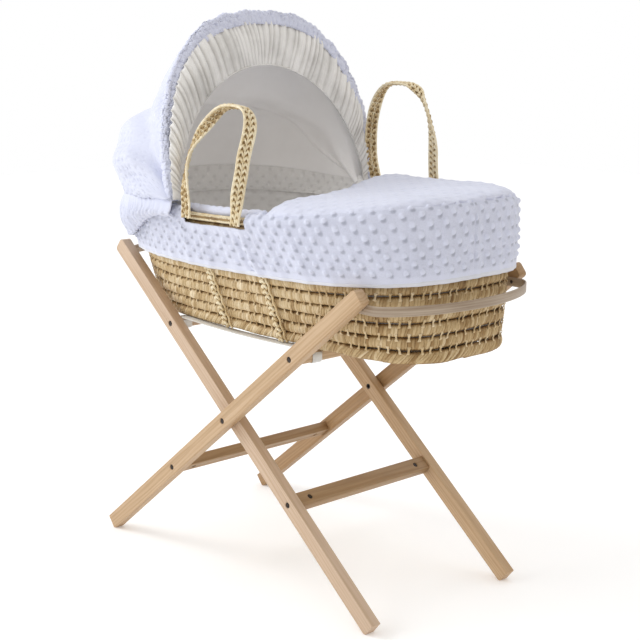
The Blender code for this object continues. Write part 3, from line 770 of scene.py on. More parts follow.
def build_straps():
    """Webbing between the top rungs, sewn back on itself round each."""
    head, foot = middle("inner_top_rung"), middle("outer_top_rung")
    top = foot.z + RUNG_HALF_TALL
    for word in ("near", "far"):
        low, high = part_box("strap_" + word)
        y = (low.y + high.y) / 2
        section = rounded_section((high.y - low.y) / 2, WEB_THICK / 2)
        span = np.linspace(0, 1, 50)
        x = head.x + (foot.x - head.x) * span
        slack = 0.004 * np.sin(math.pi * span)
        lines = [(np.stack([x, np.full(len(x), y), top - slack], -1), 0.6)]
        for x0, way in ((foot.x, 1), (head.x, -1)):
            front = [(x0 + way * RUNG_HALF_WIDE, k) for k in (0.7, 0.0, -0.7)]
            under = [(x0 + way * RUNG_HALF_WIDE * k, -1) for k in (0.8, 0.0, -0.8)]
            back = [(x0 - way * RUNG_HALF_WIDE, k) for k in (-0.7, 0.0, 0.55)]
            turned = [(x, y, foot.z + RUNG_HALF_TALL * k) for x, k in front + under + back]
            lines.append((np.array(turned), 0.4))
        mesh = Mesh()
        for path, tone in lines:
            across = same_along(path, CROSSWAYS)
            sweep_into(mesh, path, across, np.cross(tangents(path), across), section, tone=tone)
        made = mesh.made(f"strap_{word}_webbing", LOOKS["webbing"])
        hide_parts("strap_" + word)
        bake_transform(made)


def rounded_section(half_wide, half_thick):
    """A flat strip's section with its edges drawn to a point."""
    across = np.linspace(-half_wide + half_thick, half_wide - half_thick, 7)
    top = [(x, half_thick) for x in across]
    low = [(x, -half_thick) for x in across[::-1]]
    return [(-half_wide, 0)] + top + [(half_wide, 0)] + low


# ---------------------------------------------------------------- the woven basket


ROWS = 10
COILS_TOP = 0.928  # share of the height where the rim's braid begins
COIL_DEEP = 0.0082
COIL_OVERLAP = 1.10
COIL_ANGLES = np.radians([-88, -64, -36, -10, 16, 42, 66, 88, 135, 180, 225])  # fewer at the back
STITCH_EVERY = 0.0185
STITCH = [(-1, -0.25), (-0.55, 0.42), (0, 0.62), (0.55, 0.42), (1, -0.25), (0, -0.6)]
WRAP, HIDDEN_WRAP = 0.0058, 0.014  # a strand's width on the coils, and on those under the skirt


def coil_into(mesh, share, half_tall, out, wrap, seed, slant, sag):
    """One coil round the basket, wrapped in strands that each have their own set and tone, with painted
    shade in its grooves, on its back and towards the foot end.
    """
    draw = np.random.default_rng(seed)
    lengths = lengths_round(share, out)
    count = round(lengths[-1] / wrap)
    edges = (np.arange(count) + draw.uniform(-0.3, 0.3, count)) / count * lengths[-1]
    widths = np.diff(np.append(edges, edges[0] + lengths[-1]))
    inside = np.array([0.0, 0.18, 0.5, 0.82])
    groove = np.array([-0.0010, -0.0001, 0.0003, -0.0001])
    at = (edges[:, None] + widths[:, None] * inside).reshape(-1)
    set_out = (groove + draw.normal(0, 0.00035, count)[:, None]).reshape(-1)
    lean = np.repeat(slant * (1 + draw.normal(0, 0.35, count)), 4)
    tone = np.repeat(np.clip(draw.normal(0.64, 0.14, count), 0.1, 1), 4)
    # painted shade: each strand's first point, sunk in the groove between strands, is darker
    tone = tone - 0.24 * np.tile(inside == 0, count)
    c, s = np.cos(COIL_ANGLES), np.sin(COIL_ANGLES)
    where = (at[:, None] + lean[:, None] * s[None] * half_tall) % lengths[-1]
    turn = np.interp(where, lengths, TURNS)
    centre, _, up, normal = wall_frame(turn, np.full(turn.shape, share), out - COIL_DEEP)
    rise = (COIL_DEEP + set_out[:, None]) * np.where(c > 0, c, 0.4 * c)[None]
    points = centre + normal * rise[..., None] + up * (half_tall * s)[None, :, None]
    drift = 0.0009 * ripple(seed + 1, at / 0.11)
    to_foot = smooth(points[..., 0], PIVOT.x + 0.180, PIVOT.x + 0.300)
    points[..., 2] += drift[:, None] - sag * to_foot
    # painted shade: darker at the top and bottom of the coil, in the grooves between coils, and on its back
    shade = tone[:, None] - 0.46 * smooth(np.abs(s), 0.66, 1.0)[None] - 0.3 * (c < 0)[None]
    # painted shade: the coils grow darker towards the foot end
    shade = shade - 0.22 * to_foot
    rows, sides = points.shape[:2]
    faces = []
    for i in range(rows):
        a, b = i * sides, (i + 1) % rows * sides
        faces += [[a + j, b + j, b + (j + 1) % sides, a + (j + 1) % sides] for j in range(sides)]
    mesh.add(points, faces, np.clip(shade, 0, 1))


def stitches_into(mesh, share, pitch, spacing, seed):
    """Binding strands over the groove between two coils, narrow there and spread on each coil."""
    draw = np.random.default_rng(seed)
    lengths = lengths_round(share, 0)
    count = round(lengths[-1] / spacing)
    w = np.linspace(-0.36, 0.36, 9) * pitch
    half = 0.0019 + 0.0016 * smooth(np.abs(w) / pitch, 0.04, 0.36)
    for k in range(count):
        at = (k + 0.5 + draw.uniform(-0.25, 0.25)) / count * lengths[-1]
        lean = 0.22 + draw.normal(0, 0.20)
        depth = 0.0026 + draw.uniform(-0.0006, 0.0008)
        out = 0.0002 - depth * np.exp(-((w / 0.0036) ** 2))
        out = out - 0.0026 * smooth(np.abs(w) / pitch, 0.20, 0.36)
        turn = np.interp((at + lean * w) % lengths[-1], lengths, TURNS)
        centre, along, up, normal = wall_frame(turn, np.full(len(w), share), 0.0)
        path = centre + up * w[:, None] + normal * out[:, None]
        section = np.array(STITCH)[None] * np.stack([half, np.full(len(w), 0.0011)], -1)[:, None]
        # painted shade: each stitch is darker at its middle, down in the groove
        tone = np.clip(draw.normal(0.66, 0.10), 0.3, 0.95) - 0.12 * np.exp(-((w / 0.003) ** 2))
        sweep_into(mesh, path, along, normal, section, tone=tone)


def build_weave():
    """The wall: ten coils one above the other, bound to each other by stitches."""
    mesh = Mesh()
    half_tall = COILS_TOP * (RIM_LOW_Z - BASE_Z) / ROWS / 2 * COIL_OVERLAP
    for row in range(ROWS):
        share = (row + 0.5) / ROWS * COILS_TOP
        wrap = HIDDEN_WRAP if share > 0.70 else WRAP
        out, slant, sag = (0.0022, 0.9, 0.0008) if row == 0 else (0.0, 0.30, 0.0)
        coil_into(mesh, share, half_tall, out, wrap, 40 + row, slant, sag)
    made = mesh.made("woven_wall", LOOKS["palm"])
    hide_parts("basket_wall")
    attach(made, "basket")
    mesh = Mesh()
    for row in range(1, 8):
        stitches_into(mesh, row / ROWS * COILS_TOP, half_tall * 1.85, STITCH_EVERY, 80 + row)
    made = mesh.made("coil_stitches", LOOKS["palm"])
    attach(made, "basket")


def build_base():
    """The floor of the basket: flat coils, one inside the other."""
    mesh = Mesh()
    for k in range(7):
        inset = -0.022 - 0.020 * k
        count = max(16, round(lengths_round(0.0, inset)[-1] / 0.004))
        turn, at = even_turns(count, 0.0, inset)
        path = wall(turn, 0.0, inset, 0.0052)
        up = same_along(path, UPWARDS)
        twist = at / 0.009 * 2 * math.pi
        swell = 1 + 0.06 * np.sin(twist) + 0.04 * ripple(5 + k, at / 0.02)
        section = circle(0.0101, 10, 0.48)[None] * swell[:, None, None]
        tone = 0.5 + 0.25 * np.sin(twist + 0.6) + 0.15 * ripple(25 + k, at / 0.012)
        across = np.cross(tangents(path, True), up)
        sweep_into(mesh, path, across, up, section, True, np.clip(tone, 0, 1))
    made = mesh.made("woven_base", LOOKS["palm"])
    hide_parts("basket_base")
    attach(made, "basket")


def build_rim():
    """A plait round the top coil, over a dark core that closes its gaps; the core's dark tone is painted
    shade.
    """
    inset = -0.007
    path = wall(even_turns(900, 1.0, inset)[0], 1.0, inset, -0.0080)
    up = same_along(path, UPWARDS)
    mesh = Mesh()
    plait_into(mesh, path, up, 0.0135, 0.011, pitch=0.014, seed=7, closed=True, ground=False)
    out = unit(np.cross(tangents(path, True), up))
    # painted shade: a near-black core, seen between the plait's strands
    sweep_into(mesh, path, up, out, circle(0.0048, 8), True, 0.05)
    made = mesh.made("rim_braid", LOOKS["palm_braid"])
    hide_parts("basket_rim")
    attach(made, "basket")


def build_wall_straps():
    """Knotted braid down the wall under each foot of the handles, with a thin cord beside it."""
    for word, one in HANDLES.items():
        side = one["side"]
        for number, (place, start) in enumerate(zip(("head", "foot"), one["straps"])):
            mesh = Mesh()
            share = np.linspace(0.80, 0.004, 60)
            coils = 0.0011 * np.cos(share / COILS_TOP * ROWS * 2 * math.pi)
            x = np.full(len(share), PIVOT.x + start - 0.0030)
            path = wall_line(x, side, share, 0.0030 - coils)
            across = same_along(path, (1.0, 0.0, 0.0))
            plait_into(mesh, path, across, 0.0150, 0.0090, pitch=0.0220, seed=60 + number, strands=2)
            x = PIVOT.x + start + 0.0050 + 0.007 * (1 - share)
            path = wall_line(x, side, share, 0.0046 - coils)
            cord_into(mesh, path, 0.0019, 70 + number, tone=0.62)
            made = mesh.made(f"wall_strap_{word}_{place}_braid", LOOKS["palm_braid"])
            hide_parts(f"wall_strap_{word}_{place}")
            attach(made, "basket")


def build_handles():
    """Two narrow plaits side by side, edged and joined by wrapped cords."""
    for word, one in HANDLES.items():
        side, (left, right), bend = one["side"], one["feet"], one["turn"]
        middle_x = PIVOT.x + (left + right) / 2
        half = (right - left) / 2
        turn = np.linspace(0, math.pi, 241)
        rise = power(np.sin(turn), 2 / HANDLE_POWER)
        x = -half * power(np.cos(turn), 2 / HANDLE_POWER) * (1 + HANDLE_SWELL * np.sin(math.pi * rise))
        x = x + HANDLE_SWAY * np.sin(np.clip(rise / 0.35, 0, 1) * math.pi / 2)
        x = x + one["drift"] * smooth(2 * rise - 1)
        z = (one["height"] - HANDLE_WIDE / 4) * rise - 0.010 * (1 - smooth(rise, 0, 0.06))
        path, _ = respaced(np.stack([x, np.zeros_like(x), z], -1), 0.004)
        high = path[:, 2] / one["height"]
        leading = 0.82 * smooth(high, 0, 0.25) + (math.pi / 2 - 0.82) * smooth(high, 0.70, 1)
        trailing = math.pi / 2 * smooth(high, bend + 0.13, 1)
        trailing = trailing - 0.75 * np.exp(-(((high - bend) / 0.2) ** 2))
        twist = np.where(path[:, 0] * side > 0, trailing, leading)
        wide = np.stack([np.cos(twist), np.sin(twist), np.zeros_like(twist)], -1)
        lean = np.array(Matrix.Rotation(side * one["lean"], 3, "X"))
        axis_y = side * (float(wall_y(middle_x, 1.0, 0.0)) + HANDLE_OUT)
        axis = np.array([middle_x, axis_y, rim_z(middle_x) - HANDLE_BELOW])
        path, wide = path @ lean.T + axis, wide @ lean.T
        mesh = Mesh()
        quarter = HANDLE_WIDE * 0.235
        for number, shift in enumerate((-quarter, quarter)):
            line = path + wide * shift
            plait_into(mesh, line, wide, HANDLE_WIDE * 0.46, 0.0080, 0.0210, 90 + number, strands=2)
        for number, (shift, radius) in enumerate(((-0.5, 0.0022), (0.5, 0.0022), (0.0, 0.0015))):
            line = path + wide * shift * (HANDLE_WIDE - 0.003)
            cord_into(mesh, line, radius, 120 + number, tone=0.92)
        made = mesh.made(f"handle_{word}_braid", LOOKS["palm_braid"])
        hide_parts("handle_" + word)
        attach(made, "handle_" + word)


# ---------------------------------------------------------------- cloth on the basket


SKIRT_OUT = 0.0095
FOLD_SHARE = 0.963  # where the cloth starts to turn over the rim
FOLD_RADIUS = 0.014


def skirt_profile(count):
    """Share, out and lift from the hem up the wall, over the rim and down inside."""
    tall = RIM_LOW_Z - BASE_Z
    up = (FOLD_SHARE - SKIRT_HEM) * tall * 1.07
    inside = 0.008
    length = np.linspace(0, up + math.pi * FOLD_RADIUS + inside, count)
    share = SKIRT_HEM + (FOLD_SHARE - SKIRT_HEM) * np.clip(length / up, 0, 1)
    angle = np.clip((length - up) / FOLD_RADIUS, 0, math.pi)
    out = SKIRT_OUT - FOLD_RADIUS * (1 - np.cos(angle))
    lift = FOLD_RADIUS * np.sin(angle) - np.clip(length - up - math.pi * FOLD_RADIUS, 0, None)
    return length, share, out, lift, up


def in_notch(x, y, ease=0.010):
    """How far, 0 to 1, a place round the rim lies in a notch between a handle's feet."""
    share = 0
    for one in HANDLES.values():
        low, high = (PIVOT.x + foot for foot in one["feet"])
        begun = smooth(x, low - NOTCH_PAST - ease, low - NOTCH_PAST + ease)
        ended = smooth(x, high + NOTCH_PAST - ease, high + NOTCH_PAST + ease)
        share = share + begun * (1 - ended) * (np.sign(y) == one["side"])
    return share


def build_skirt():
    """Plush from the bound hem up the wall and over the rim, notched where the handles stand."""
    count, rows = 1150, 84
    turn, at = even_turns(count, 0.8, SKIRT_OUT)
    full, share, out, lift, up = skirt_profile(400)
    rim = wall(turn, 1.0, SKIRT_OUT)
    notch = in_notch(rim[:, 0], rim[:, 1])
    top = full[-1] + (up * 0.86 - full[-1]) * notch
    length = np.linspace(0, 1, rows)[:, None] * top[None]
    share_at, out_at, lift_at = (np.interp(length, full, values) for values in (share, out, lift))
    sag = 0.0016 * ripple(3, at / 0.11) + 0.0011 * ripple(4, at / 0.045)
    out_at = out_at + sag[None] * (1 - smooth(length, up * 0.75, up))
    pucker = rim[:, 0] - PIVOT.x - 0.066
    near = (rim[:, 1] < 0)[None] * (1 - smooth(length, up * 0.55, up * 0.95))
    fold = np.exp(-((pucker / 0.007) ** 2)) - 0.7 * np.exp(-(((pucker - 0.016) / 0.007) ** 2))
    out_at = out_at - 0.0042 * fold[None] * near
    foot_lift = 0.007 * smooth(rim[:, 0], PIVOT.x + 0.15, PIVOT.x + 0.33) * smooth(length, up * 0.6, up)
    points = wall(turn, share_at, out_at, lift_at + foot_lift)
    raised, tone = dots_and_painted_shade(at, length - 0.004)
    calm = smooth(length, 0.006, 0.012) * (1 - smooth(length, up + 0.034, up + 0.05))
    calm = calm * (1 - 0.8 * notch[None] * smooth(length, up * 0.70, up * 0.84))
    worn = 0.55 + 0.45 * (1 + ripple(11, at[None] / 0.16, length / 0.09)) / 2
    points = raised_by(points, DOT_HIGH * raised * calm * worn, True)
    tone = faded(tone, 0.80, calm)
    made = shell("skirt_cloth", LOOKS["plush"], points, SKIRT_THICK, True, tone)
    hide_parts("skirt")
    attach(made, "basket")
    path = wall(turn, SKIRT_HEM - 0.004, SKIRT_OUT - 0.0012 + sag)
    mesh = Mesh()
    sweep_into(mesh, path, *frames_along(path, UPWARDS, True), circle(0.0042, 8, 0.42), True, 0.6)
    hem = mesh.made("skirt_hem", LOOKS["hem"])
    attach(hem, "basket")
    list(notch_folds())


def notch_folds():
    """The plush rolled inside the rim where the skirt is notched for a handle."""
    made = []
    for word, one in HANDLES.items():
        low, high = (PIVOT.x + foot for foot in one["feet"])
        x = np.linspace(low - 0.040, high + 0.040, 60)
        y = one["side"] * wall_y(x, 1.0, -0.0205)
        path = np.stack([x, y, rim_z(x) + 0.0015 + 0.0012 * ripple(13, x / 0.03)], -1)
        mesh = Mesh()
        sweep_into(mesh, path, *frames_along(path, CROSSWAYS), circle(0.0066, 12, 1.45), tone=0.82)
        fold = mesh.made(f"skirt_fold_{word}", LOOKS["plush"])
        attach(fold, "basket")
        made.append(fold)
    return made


def build_liner():
    """Dotted plush down the inside of the wall; its grid is turned to face inwards."""
    count, rows = 560, 56
    turn, at = even_turns(count, 0.6, -0.015)
    share = np.linspace(0.10, 0.985, rows)[:, None]
    length = share * (RIM_LOW_Z - BASE_Z)
    out = -0.0160 - 0.0038 * smooth(share, 0.74, 0.88) - 0.0010 * ripple(21, at[None] / 0.10, length / 0.1)
    raised, tone = dots_and_painted_shade(at, length)
    raised = raised * smooth(length, 0.02, 0.03) * (1 - smooth(share, 0.90, 0.94))
    points = raised_by(wall(turn, share, out)[:, ::-1], 0.0026 * raised[:, ::-1], True)
    tone = faded(tone, 0.80, 0.6)[:, ::-1]
    made = shell("liner_cloth", LOOKS["inner_plush"], points, COTTON_THICK, True, tone)
    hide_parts("liner")
    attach(made, "basket")


def puffed(name, data, look, voxel, pressure, most):
    """A closed mesh as a stuffed case: remeshed, blown up by a cloth simulation, capped."""
    made = new_object(name, data)
    fine = made.modifiers.new("voxels", "REMESH")
    fine.mode = "VOXEL"
    fine.voxel_size = voxel
    bake(made)
    rest = coordinates(made.data)
    cloth = made.modifiers.new("cloth", "CLOTH")
    cloth.settings.use_pressure = True
    cloth.settings.uniform_pressure_force = pressure
    cloth.settings.effector_weights.gravity = 0
    scene = bpy.context.scene
    for number in range(1, 21):
        scene.frame_set(number)
    moved = coordinates(evaluated(made)) - rest
    scene.frame_set(1)
    made.modifiers.remove(cloth)
    far = np.linalg.norm(moved, axis=1, keepdims=True)
    moved = moved * np.minimum(1, most / np.maximum(far, 1e-9))
    made.data.vertices.foreach_set("co", (rest + moved).astype(np.float32).ravel())
    ease = made.modifiers.new("soft", "SMOOTH")
    ease.iterations = 3
    fine = made.modifiers.new("fine", "SUBSURF")
    fine.levels = 1
    bake(made)
    recoloured(made.data, look)
    made.data.shade_smooth()
    return made


def evaluated(obj):
    graph = bpy.context.evaluated_depsgraph_get()
    return obj.evaluated_get(graph).to_mesh()


def bake(obj):
    """Puts the modifiers' result into the object's own mesh."""
    graph = bpy.context.evaluated_depsgraph_get()
    data = bpy.data.meshes.new_from_object(obj.evaluated_get(graph), depsgraph=graph)
    obj.modifiers.clear()
    obj.data = data


def read(collection, key):
    """One vector for each of a mesh's points."""
    values = np.zeros(len(collection) * 3, np.float32)
    collection.foreach_get(key, values)
    return values.reshape(-1, 3).astype(float)


def coordinates(data):
    return read(data.vertices, "co")


def normals(data):
    return read(data.vertex_normals, "vector")


def embossed(obj, height, tone):
    """Raises an object's points along their normals and stores their tone."""
    points = coordinates(obj.data) + normals(obj.data) * height[:, None]
    obj.data.vertices.foreach_set("co", points.astype(np.float32).ravel())
    made = obj.data.attributes.new("tone", "FLOAT", "POINT")
    made.data.foreach_set("value", np.clip(tone, 0, 1).astype(np.float32))
    obj.data.update()


QUILT_HEAD_NEAR, QUILT_HEAD_FAR = 0.100, -0.104  # its head edge, along X from the pivot
QUILT_THICK, QUILT_DROP = 0.014, 0.055
QUILT_CROWN, QUILT_PUFF = 0.016, 0.021  # the rise of its middle, and of its far side by the hood


def quilt_case():
    """The quilt before it is puffed: wall to wall, with its head edge turned down."""
    rows, columns = 60, 120
    along = np.linspace(0, 1, rows)[:, None]
    across = np.linspace(-1, 1, columns)[None]
    sideways = np.sin(across * math.pi / 2)
    head_x = PIVOT.x + QUILT_HEAD_NEAR + (QUILT_HEAD_FAR - QUILT_HEAD_NEAR) * (sideways + 1) / 2
    foot_x = BASKET_X + RIM_FOOT + 0.008
    x = head_x + (foot_x - head_x) * np.sin(along * math.pi / 2)
    drop = -QUILT_DROP * np.clip(1 - along * 5, 0, 1) ** 2
    clear = smooth(x, PIVOT.x + 0.095, PIVOT.x + 0.135)  # inside the rim where the handles stand
    room = np.maximum(wall_y(x, 1.0, 0.019 * clear - 0.010), 0.03) + drop * 0.45
    y = room * sideways
    edge = 1 - np.abs(sideways) ** 5
    far = smooth(across, -0.1, 0.75)
    puff = QUILT_PUFF * far * (1 - smooth(x, PIVOT.x - 0.02, PIVOT.x + 0.34)) * (1 - np.abs(sideways) ** 9)
    end = 1 - np.clip(np.sin(along * math.pi / 2), 0, 1) ** 14
    z = rim_z(x) + 0.009 + 0.003 * far + puff + QUILT_CROWN * edge * (0.35 + 0.65 * end) + drop
    scallop = 0.0022 * np.cos(math.pi * y / DOT_ACROSS) * np.clip(1 - along * 7, 0, 1)
    top = np.stack([x - scallop, y, z], -1)[:, ::-1]
    mesh = Mesh()
    shell_into(mesh, top, QUILT_THICK)
    return mesh.data("quilt_case", LOOKS["plush"])


def build_quilt():
    """The puffed quilt, dotted on top and more deeply on the edge that is turned down."""
    made = puffed("quilt_cover", quilt_case(), LOOKS["plush"], voxel=0.005, pressure=4.0, most=0.004)
    points, normal = coordinates(made.data), normals(made.data)
    top = smooth(normal[:, 2], 0.25, 0.85)
    raised, tone = dots_and_painted_shade(points[:, 0], points[:, 1])
    steep_raised, steep_tone = dots_and_painted_shade(points[:, 1], points[:, 2])
    steep = smooth(-normal[:, 0], 0.45, 0.85)
    height = 0.0011 * raised * top + 0.0030 * steep_raised * steep
    folds = 0.0024 * ripple(31, points[:, 0] / 0.17, points[:, 1] / 0.17)
    tone = 0.82 + 0.30 * (tone - 0.82) * top + (steep_tone - 0.82) * steep
    embossed(made, folds + height, tone)
    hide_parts("quilt")
    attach(made, "basket")


STITCH_STEP = 0.055  # of the mattress's diamond quilting, along the diagonals


def build_mattress():
    """The CAD's mattress as a padded case, with diamonds stitched into it."""
    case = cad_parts["mattress"].data.copy()
    made = puffed("mattress_pad", case, LOOKS["cover"], voxel=0.006, pressure=3.0, most=0.003)
    points = coordinates(made.data)
    one_way, other_way = points[:, 0] + points[:, 1], points[:, 0] - points[:, 1]
    diamond = pleats(one_way / STITCH_STEP) * pleats(other_way / STITCH_STEP)
    flat = smooth(np.abs(normals(made.data)[:, 2]), 0.6, 0.95)
    # painted shade: the tone falls from the middle of each diamond towards the stitched lines, where the
    # case is pressed in
    embossed(made, -0.0014 * (1 - diamond ** 0.35) * flat, 0.5 + 0.3 * diamond)
    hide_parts("mattress")
    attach(made, "basket")


# ---------------------------------------------------------------- the hood


def arch(wide, tall, exponent, turn, angle=HOOD_FRONT, forward=0.0):
    """Points of an arch in a plane at an angle round the hood's axis; forward is off that plane."""
    reach = tall * power(np.sin(turn), 2 / exponent)
    y = -wide * power(np.cos(turn), 2 / exponent)
    x = HOOD_AXIS.x + reach * np.cos(angle) + forward * np.sin(angle)
    z = HOOD_AXIS.z + reach * np.sin(angle) - forward * np.cos(angle)
    return np.stack(np.broadcast_arrays(x, y, z), -1)


def arch_turns(count, first=0.02):
    """Turns that space points evenly along the hood's arch, and the share at each."""
    turn = np.concatenate([np.geomspace(first * 0.02, 0.3, 200), np.linspace(0.3, math.pi / 2, 300)[1:]])
    turn = np.concatenate([turn, math.pi - turn[-2::-1]])
    lengths = run_lengths(arch(HOOD_WIDE, HOOD_TALL, HOOD_POWER, turn))
    at = np.linspace(0, lengths[-1], count)
    return np.interp(at, lengths, turn), at


def build_facing():
    """The gathered ring round the mouth: pleats from the ruffle in to the piping."""
    count, rows = 900, 24
    turn, at = arch_turns(count)
    v = np.linspace(0, 1, rows)[:, None]
    outer_wide, outer_tall = HOOD_WIDE + 0.004, HOOD_TALL + 0.002
    wide = outer_wide + (PIPING_WIDE - outer_wide) * v
    tall = outer_tall + (PIPING_TALL - outer_tall) * v
    exponent = HOOD_POWER + (PIPING_POWER - HOOD_POWER) * v
    fold = gathers(FACING_PLEATS, at / at[-1], 51, 0.6)
    pleat = pleats(fold) ** 0.7
    fine = np.sin(math.pi * gathers(170, at / at[-1], 52)) ** 2
    strength = 0.75 + 0.45 * ripple(53, at / 0.05)
    depth = 0.0078 * (1 - 0.62 * v) * (pleat * strength)[None] + 0.0012 * fine[None] * (1 - v * 0.5)
    bulge = 0.007 * np.sin(math.pi * v ** 0.8)
    narrow = off_ends(at, 0.10)[None]
    turns = turn[None] + 0.004 * np.sin(fold * 2.1)[None] * np.sin(math.pi * v)
    forward = (bulge + depth) * (0.35 + 0.65 * narrow)
    points = arch(wide, tall, exponent, turns, HOOD_FRONT, forward)[:, ::-1]
    # painted shade and highlight: lighter on the crests of the pleats, darker in their hollows; the tone
    # also rises towards the outer edge and dips a little on the fine gathers
    tone = 0.30 + 0.55 * pleat[None] + 0.25 * (1 - v) - 0.1 * fine[None]
    made = shell("hood_facing_cloth", LOOKS["facing"], points, COTTON_THICK, tone=tone[:, ::-1])
    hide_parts("hood_facing")
    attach(made, "hood")
    mesh = Mesh()
    line = arch(PIPING_WIDE, PIPING_TALL, PIPING_POWER, turn, HOOD_FRONT, 0.0015)
    cord_into(mesh, line, 0.0017, 55, 0.006, tone=0.5)
    piping = mesh.made("hood_piping", LOOKS["facing"])
    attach(piping, "hood")


def mouth_pleats(along):
    """The pleats that the ruffle and the cover share, where the cloth is drawn in at the mouth."""
    return pleats(gathers(MOUTH_PLEATS, along, 61))


def build_ruffle():
    """The plush drawn forward over the hoop: a bumpy roll outside the facing."""
    count, rows = 800, 30
    turn, at = arch_turns(count)
    w = np.linspace(0, 1, rows)[:, None]
    along = at / at[-1]
    lump = mouth_pleats(along) ** 0.7
    ends = off_ends(at, 0.06)
    high = 0.003 + 0.013 * smooth(along, 0.06, 0.42) - 0.005 * smooth(along, 0.55, 0.85)
    high = (high + 0.0034 * lump + 0.0020 * ripple(62, at / 0.05)) * (0.35 + 0.65 * ends)
    angle = w * math.pi
    set_back = 0.013 * (1 - smooth(along, 0.15, 0.42))
    grow = -0.006 + (high[None] + 0.006) * np.sin(angle) ** 0.8
    forward = 0.0080 * np.cos(angle * 0.9) * (0.5 + 0.5 * ends)[None] - 0.010 * smooth(w, 0.5, 1)
    forward = forward - set_back[None] + 0.0016 * ripple(63, at[None] / 0.014, w * 3)
    points = arch(HOOD_WIDE + grow, HOOD_TALL + grow, HOOD_POWER, turn, HOOD_FRONT, forward)
    raised, tone = dots_and_painted_shade(at * 1.15, 0.060 * w)
    points = raised_by(points, -0.0022 * raised * ends)
    # painted shade from the dots, and a painted highlight on the lumps of the gathers
    tone = 0.86 + 0.6 * (tone - 0.74) + 0.08 * lump[None]
    made = shell("hood_ruffle", LOOKS["plush"], points[:, ::-1], PLUSH_THICK, tone=tone[:, ::-1])
    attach(made, "hood")


def hood_surface(turn, share, inside=0.0):
    """The cloth from the hoop back and down to the rim: share 0 at the hoop, 1 at the head end."""
    angle = HOOD_FRONT + math.radians(3) + HOOD_SWEEP * share
    dip = DIP_DEEP * np.exp(-(((share - DIP_AT) / DIP_WIDE) ** 2)) * smooth(share, 0, 0.08)
    puff = 0.004 * np.sin(math.pi * np.clip((share - 0.5) / 0.5, 0, 1)) ** 1.2
    drawn_in = 0.010 * smooth(share, 0.90, 1.0)
    head = RIM_HEAD - (BASKET_X - HOOD_AXIS.x) + 0.003
    grown = puff - dip - inside - drawn_in
    tall = HOOD_TALL + 0.002 + (head - HOOD_TALL) * share + grown
    wide = HOOD_WIDE - 0.002 + 0.012 * share - 0.30 * dip + 0.3 * puff - inside - 0.6 * drawn_in
    exponent = HOOD_POWER + 0.30 * share + 0.8 * np.sin(math.pi * np.clip(share, 0, 1))
    return arch(wide, tall, exponent, turn, angle, -0.012 * (1 - share))


def blend_with_hood(piece):
    """Bakes the cloth's place into its own points; the cloth is not attached to the hoop or the basket."""
    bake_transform(piece)


def rim_turns(points):
    """Where round the basket each point lies, seen from above its middle."""
    line = wall(TURNS[:-1], 0.9, 0.01)
    aims = np.arctan2(line[:, 1], line[:, 0] - BASKET_X) % (2 * math.pi)
    aim = np.arctan2(points[:, 1], points[:, 0] - BASKET_X) % (2 * math.pi)
    return np.interp(aim, aims, TURNS[:-1])


def elastic_pleats(along):
    """The pleats that the cover and the hem share, either side of the elastic at the rim."""
    return pleats(gathers(ELASTIC_PLEATS, along, 91))


def build_cover():
    """The plush over the hood, gathered at the mouth and at the elastic on the rim."""
    count, rows = 520, 130
    turn, at = arch_turns(count, 0.05)
    share = np.linspace(0, 1, rows)[:, None]
    along = at / at[-1]
    ends = off_ends(at, 0.06)
    mouth = mouth_pleats(along) * np.exp(-share / 0.10)
    elastic = elastic_pleats(along) * np.exp(-(1 - share) / 0.07)
    level = np.sin(math.pi * gathers(9, share, 72) + 1.2 * ripple(76, at[None] / 0.30, share * 1.5))
    wave = 0.0036 * mouth + 0.0046 * elastic
    wave = wave + 0.0052 * level * np.sin(math.pi * share) ** 0.6 * (0.5 + 0.5 * ripple(77, at[None] / 0.35))
    wave = wave + 0.005 * ripple(73, at[None] / 0.20, share * 2.2)
    shake = 0.004 * ripple(74, at[None] / 0.06, share * 4)
    raised, tone = dots_and_painted_shade(at + shake, share * 0.33 + shake)
    calm = (0.30 + 0.70 * smooth(share, 0.45, 0.75)) * ends
    points = raised_by(hood_surface(turn, share), -(wave * ends + 0.0020 * raised * calm))
    tone = faded(tone, 0.84, calm * 0.45)
    made = shell("hood_cover_cloth", LOOKS["plush"], points[::-1], PLUSH_THICK, tone=tone[::-1])
    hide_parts("hood_cover")
    blend_with_hood(made)


def build_lining():
    """Smooth cloth under the hoop and a band of dotted plush below it, tucked inside the rim."""
    count, rows = 420, 140
    turn, at = arch_turns(count, 0.05)
    share = np.linspace(0, 1, rows)[:, None]
    points = hood_surface(turn, 0.97 * share, 0.004 + 0.0115 * smooth(share, 0, 0.14))
    tucked = wall(rim_turns(points[-1])[None], 1.07 - 0.15 * smooth(share, 0.80, 1.0), -0.0245)
    points = points + (tucked - points) * smooth(share, 0.62, 0.88)[..., None]
    along = at[None] / at[-1]
    crease = np.exp(-(((share - 0.20 - 0.50 * along) / 0.020) ** 2))
    points = raised_by(points, 0.004 * ripple(81, at[None] / 0.25, share * 2) - 0.004 * crease)
    seam = round(rows * LINING_SEAM)
    # painted shade: darker along the crease, where the cloth is pressed in
    tone = np.broadcast_to(0.6 - 0.30 * crease, points.shape[:2])
    made = shell(
        "hood_lining_cloth", LOOKS["lining"], points[: seam + 1], LINING_THICK, tone=tone[: seam + 1],
    )
    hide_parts("hood_lining")
    blend_with_hood(made)
    raised, tone = dots_and_painted_shade(at, 0.30 * share)
    points = raised_by(points, 0.0022 * raised * smooth(share, LINING_SEAM, LINING_SEAM + 0.03))
    tone = faded(tone, 0.80, 0.6) - 0.4 * np.exp(-(((share - LINING_SEAM) / 0.008) ** 2))
    lower = shell("hood_lining_low", LOOKS["inner_plush"], points[seam:], LINING_THICK, tone=tone[seam:])
    blend_with_hood(lower)


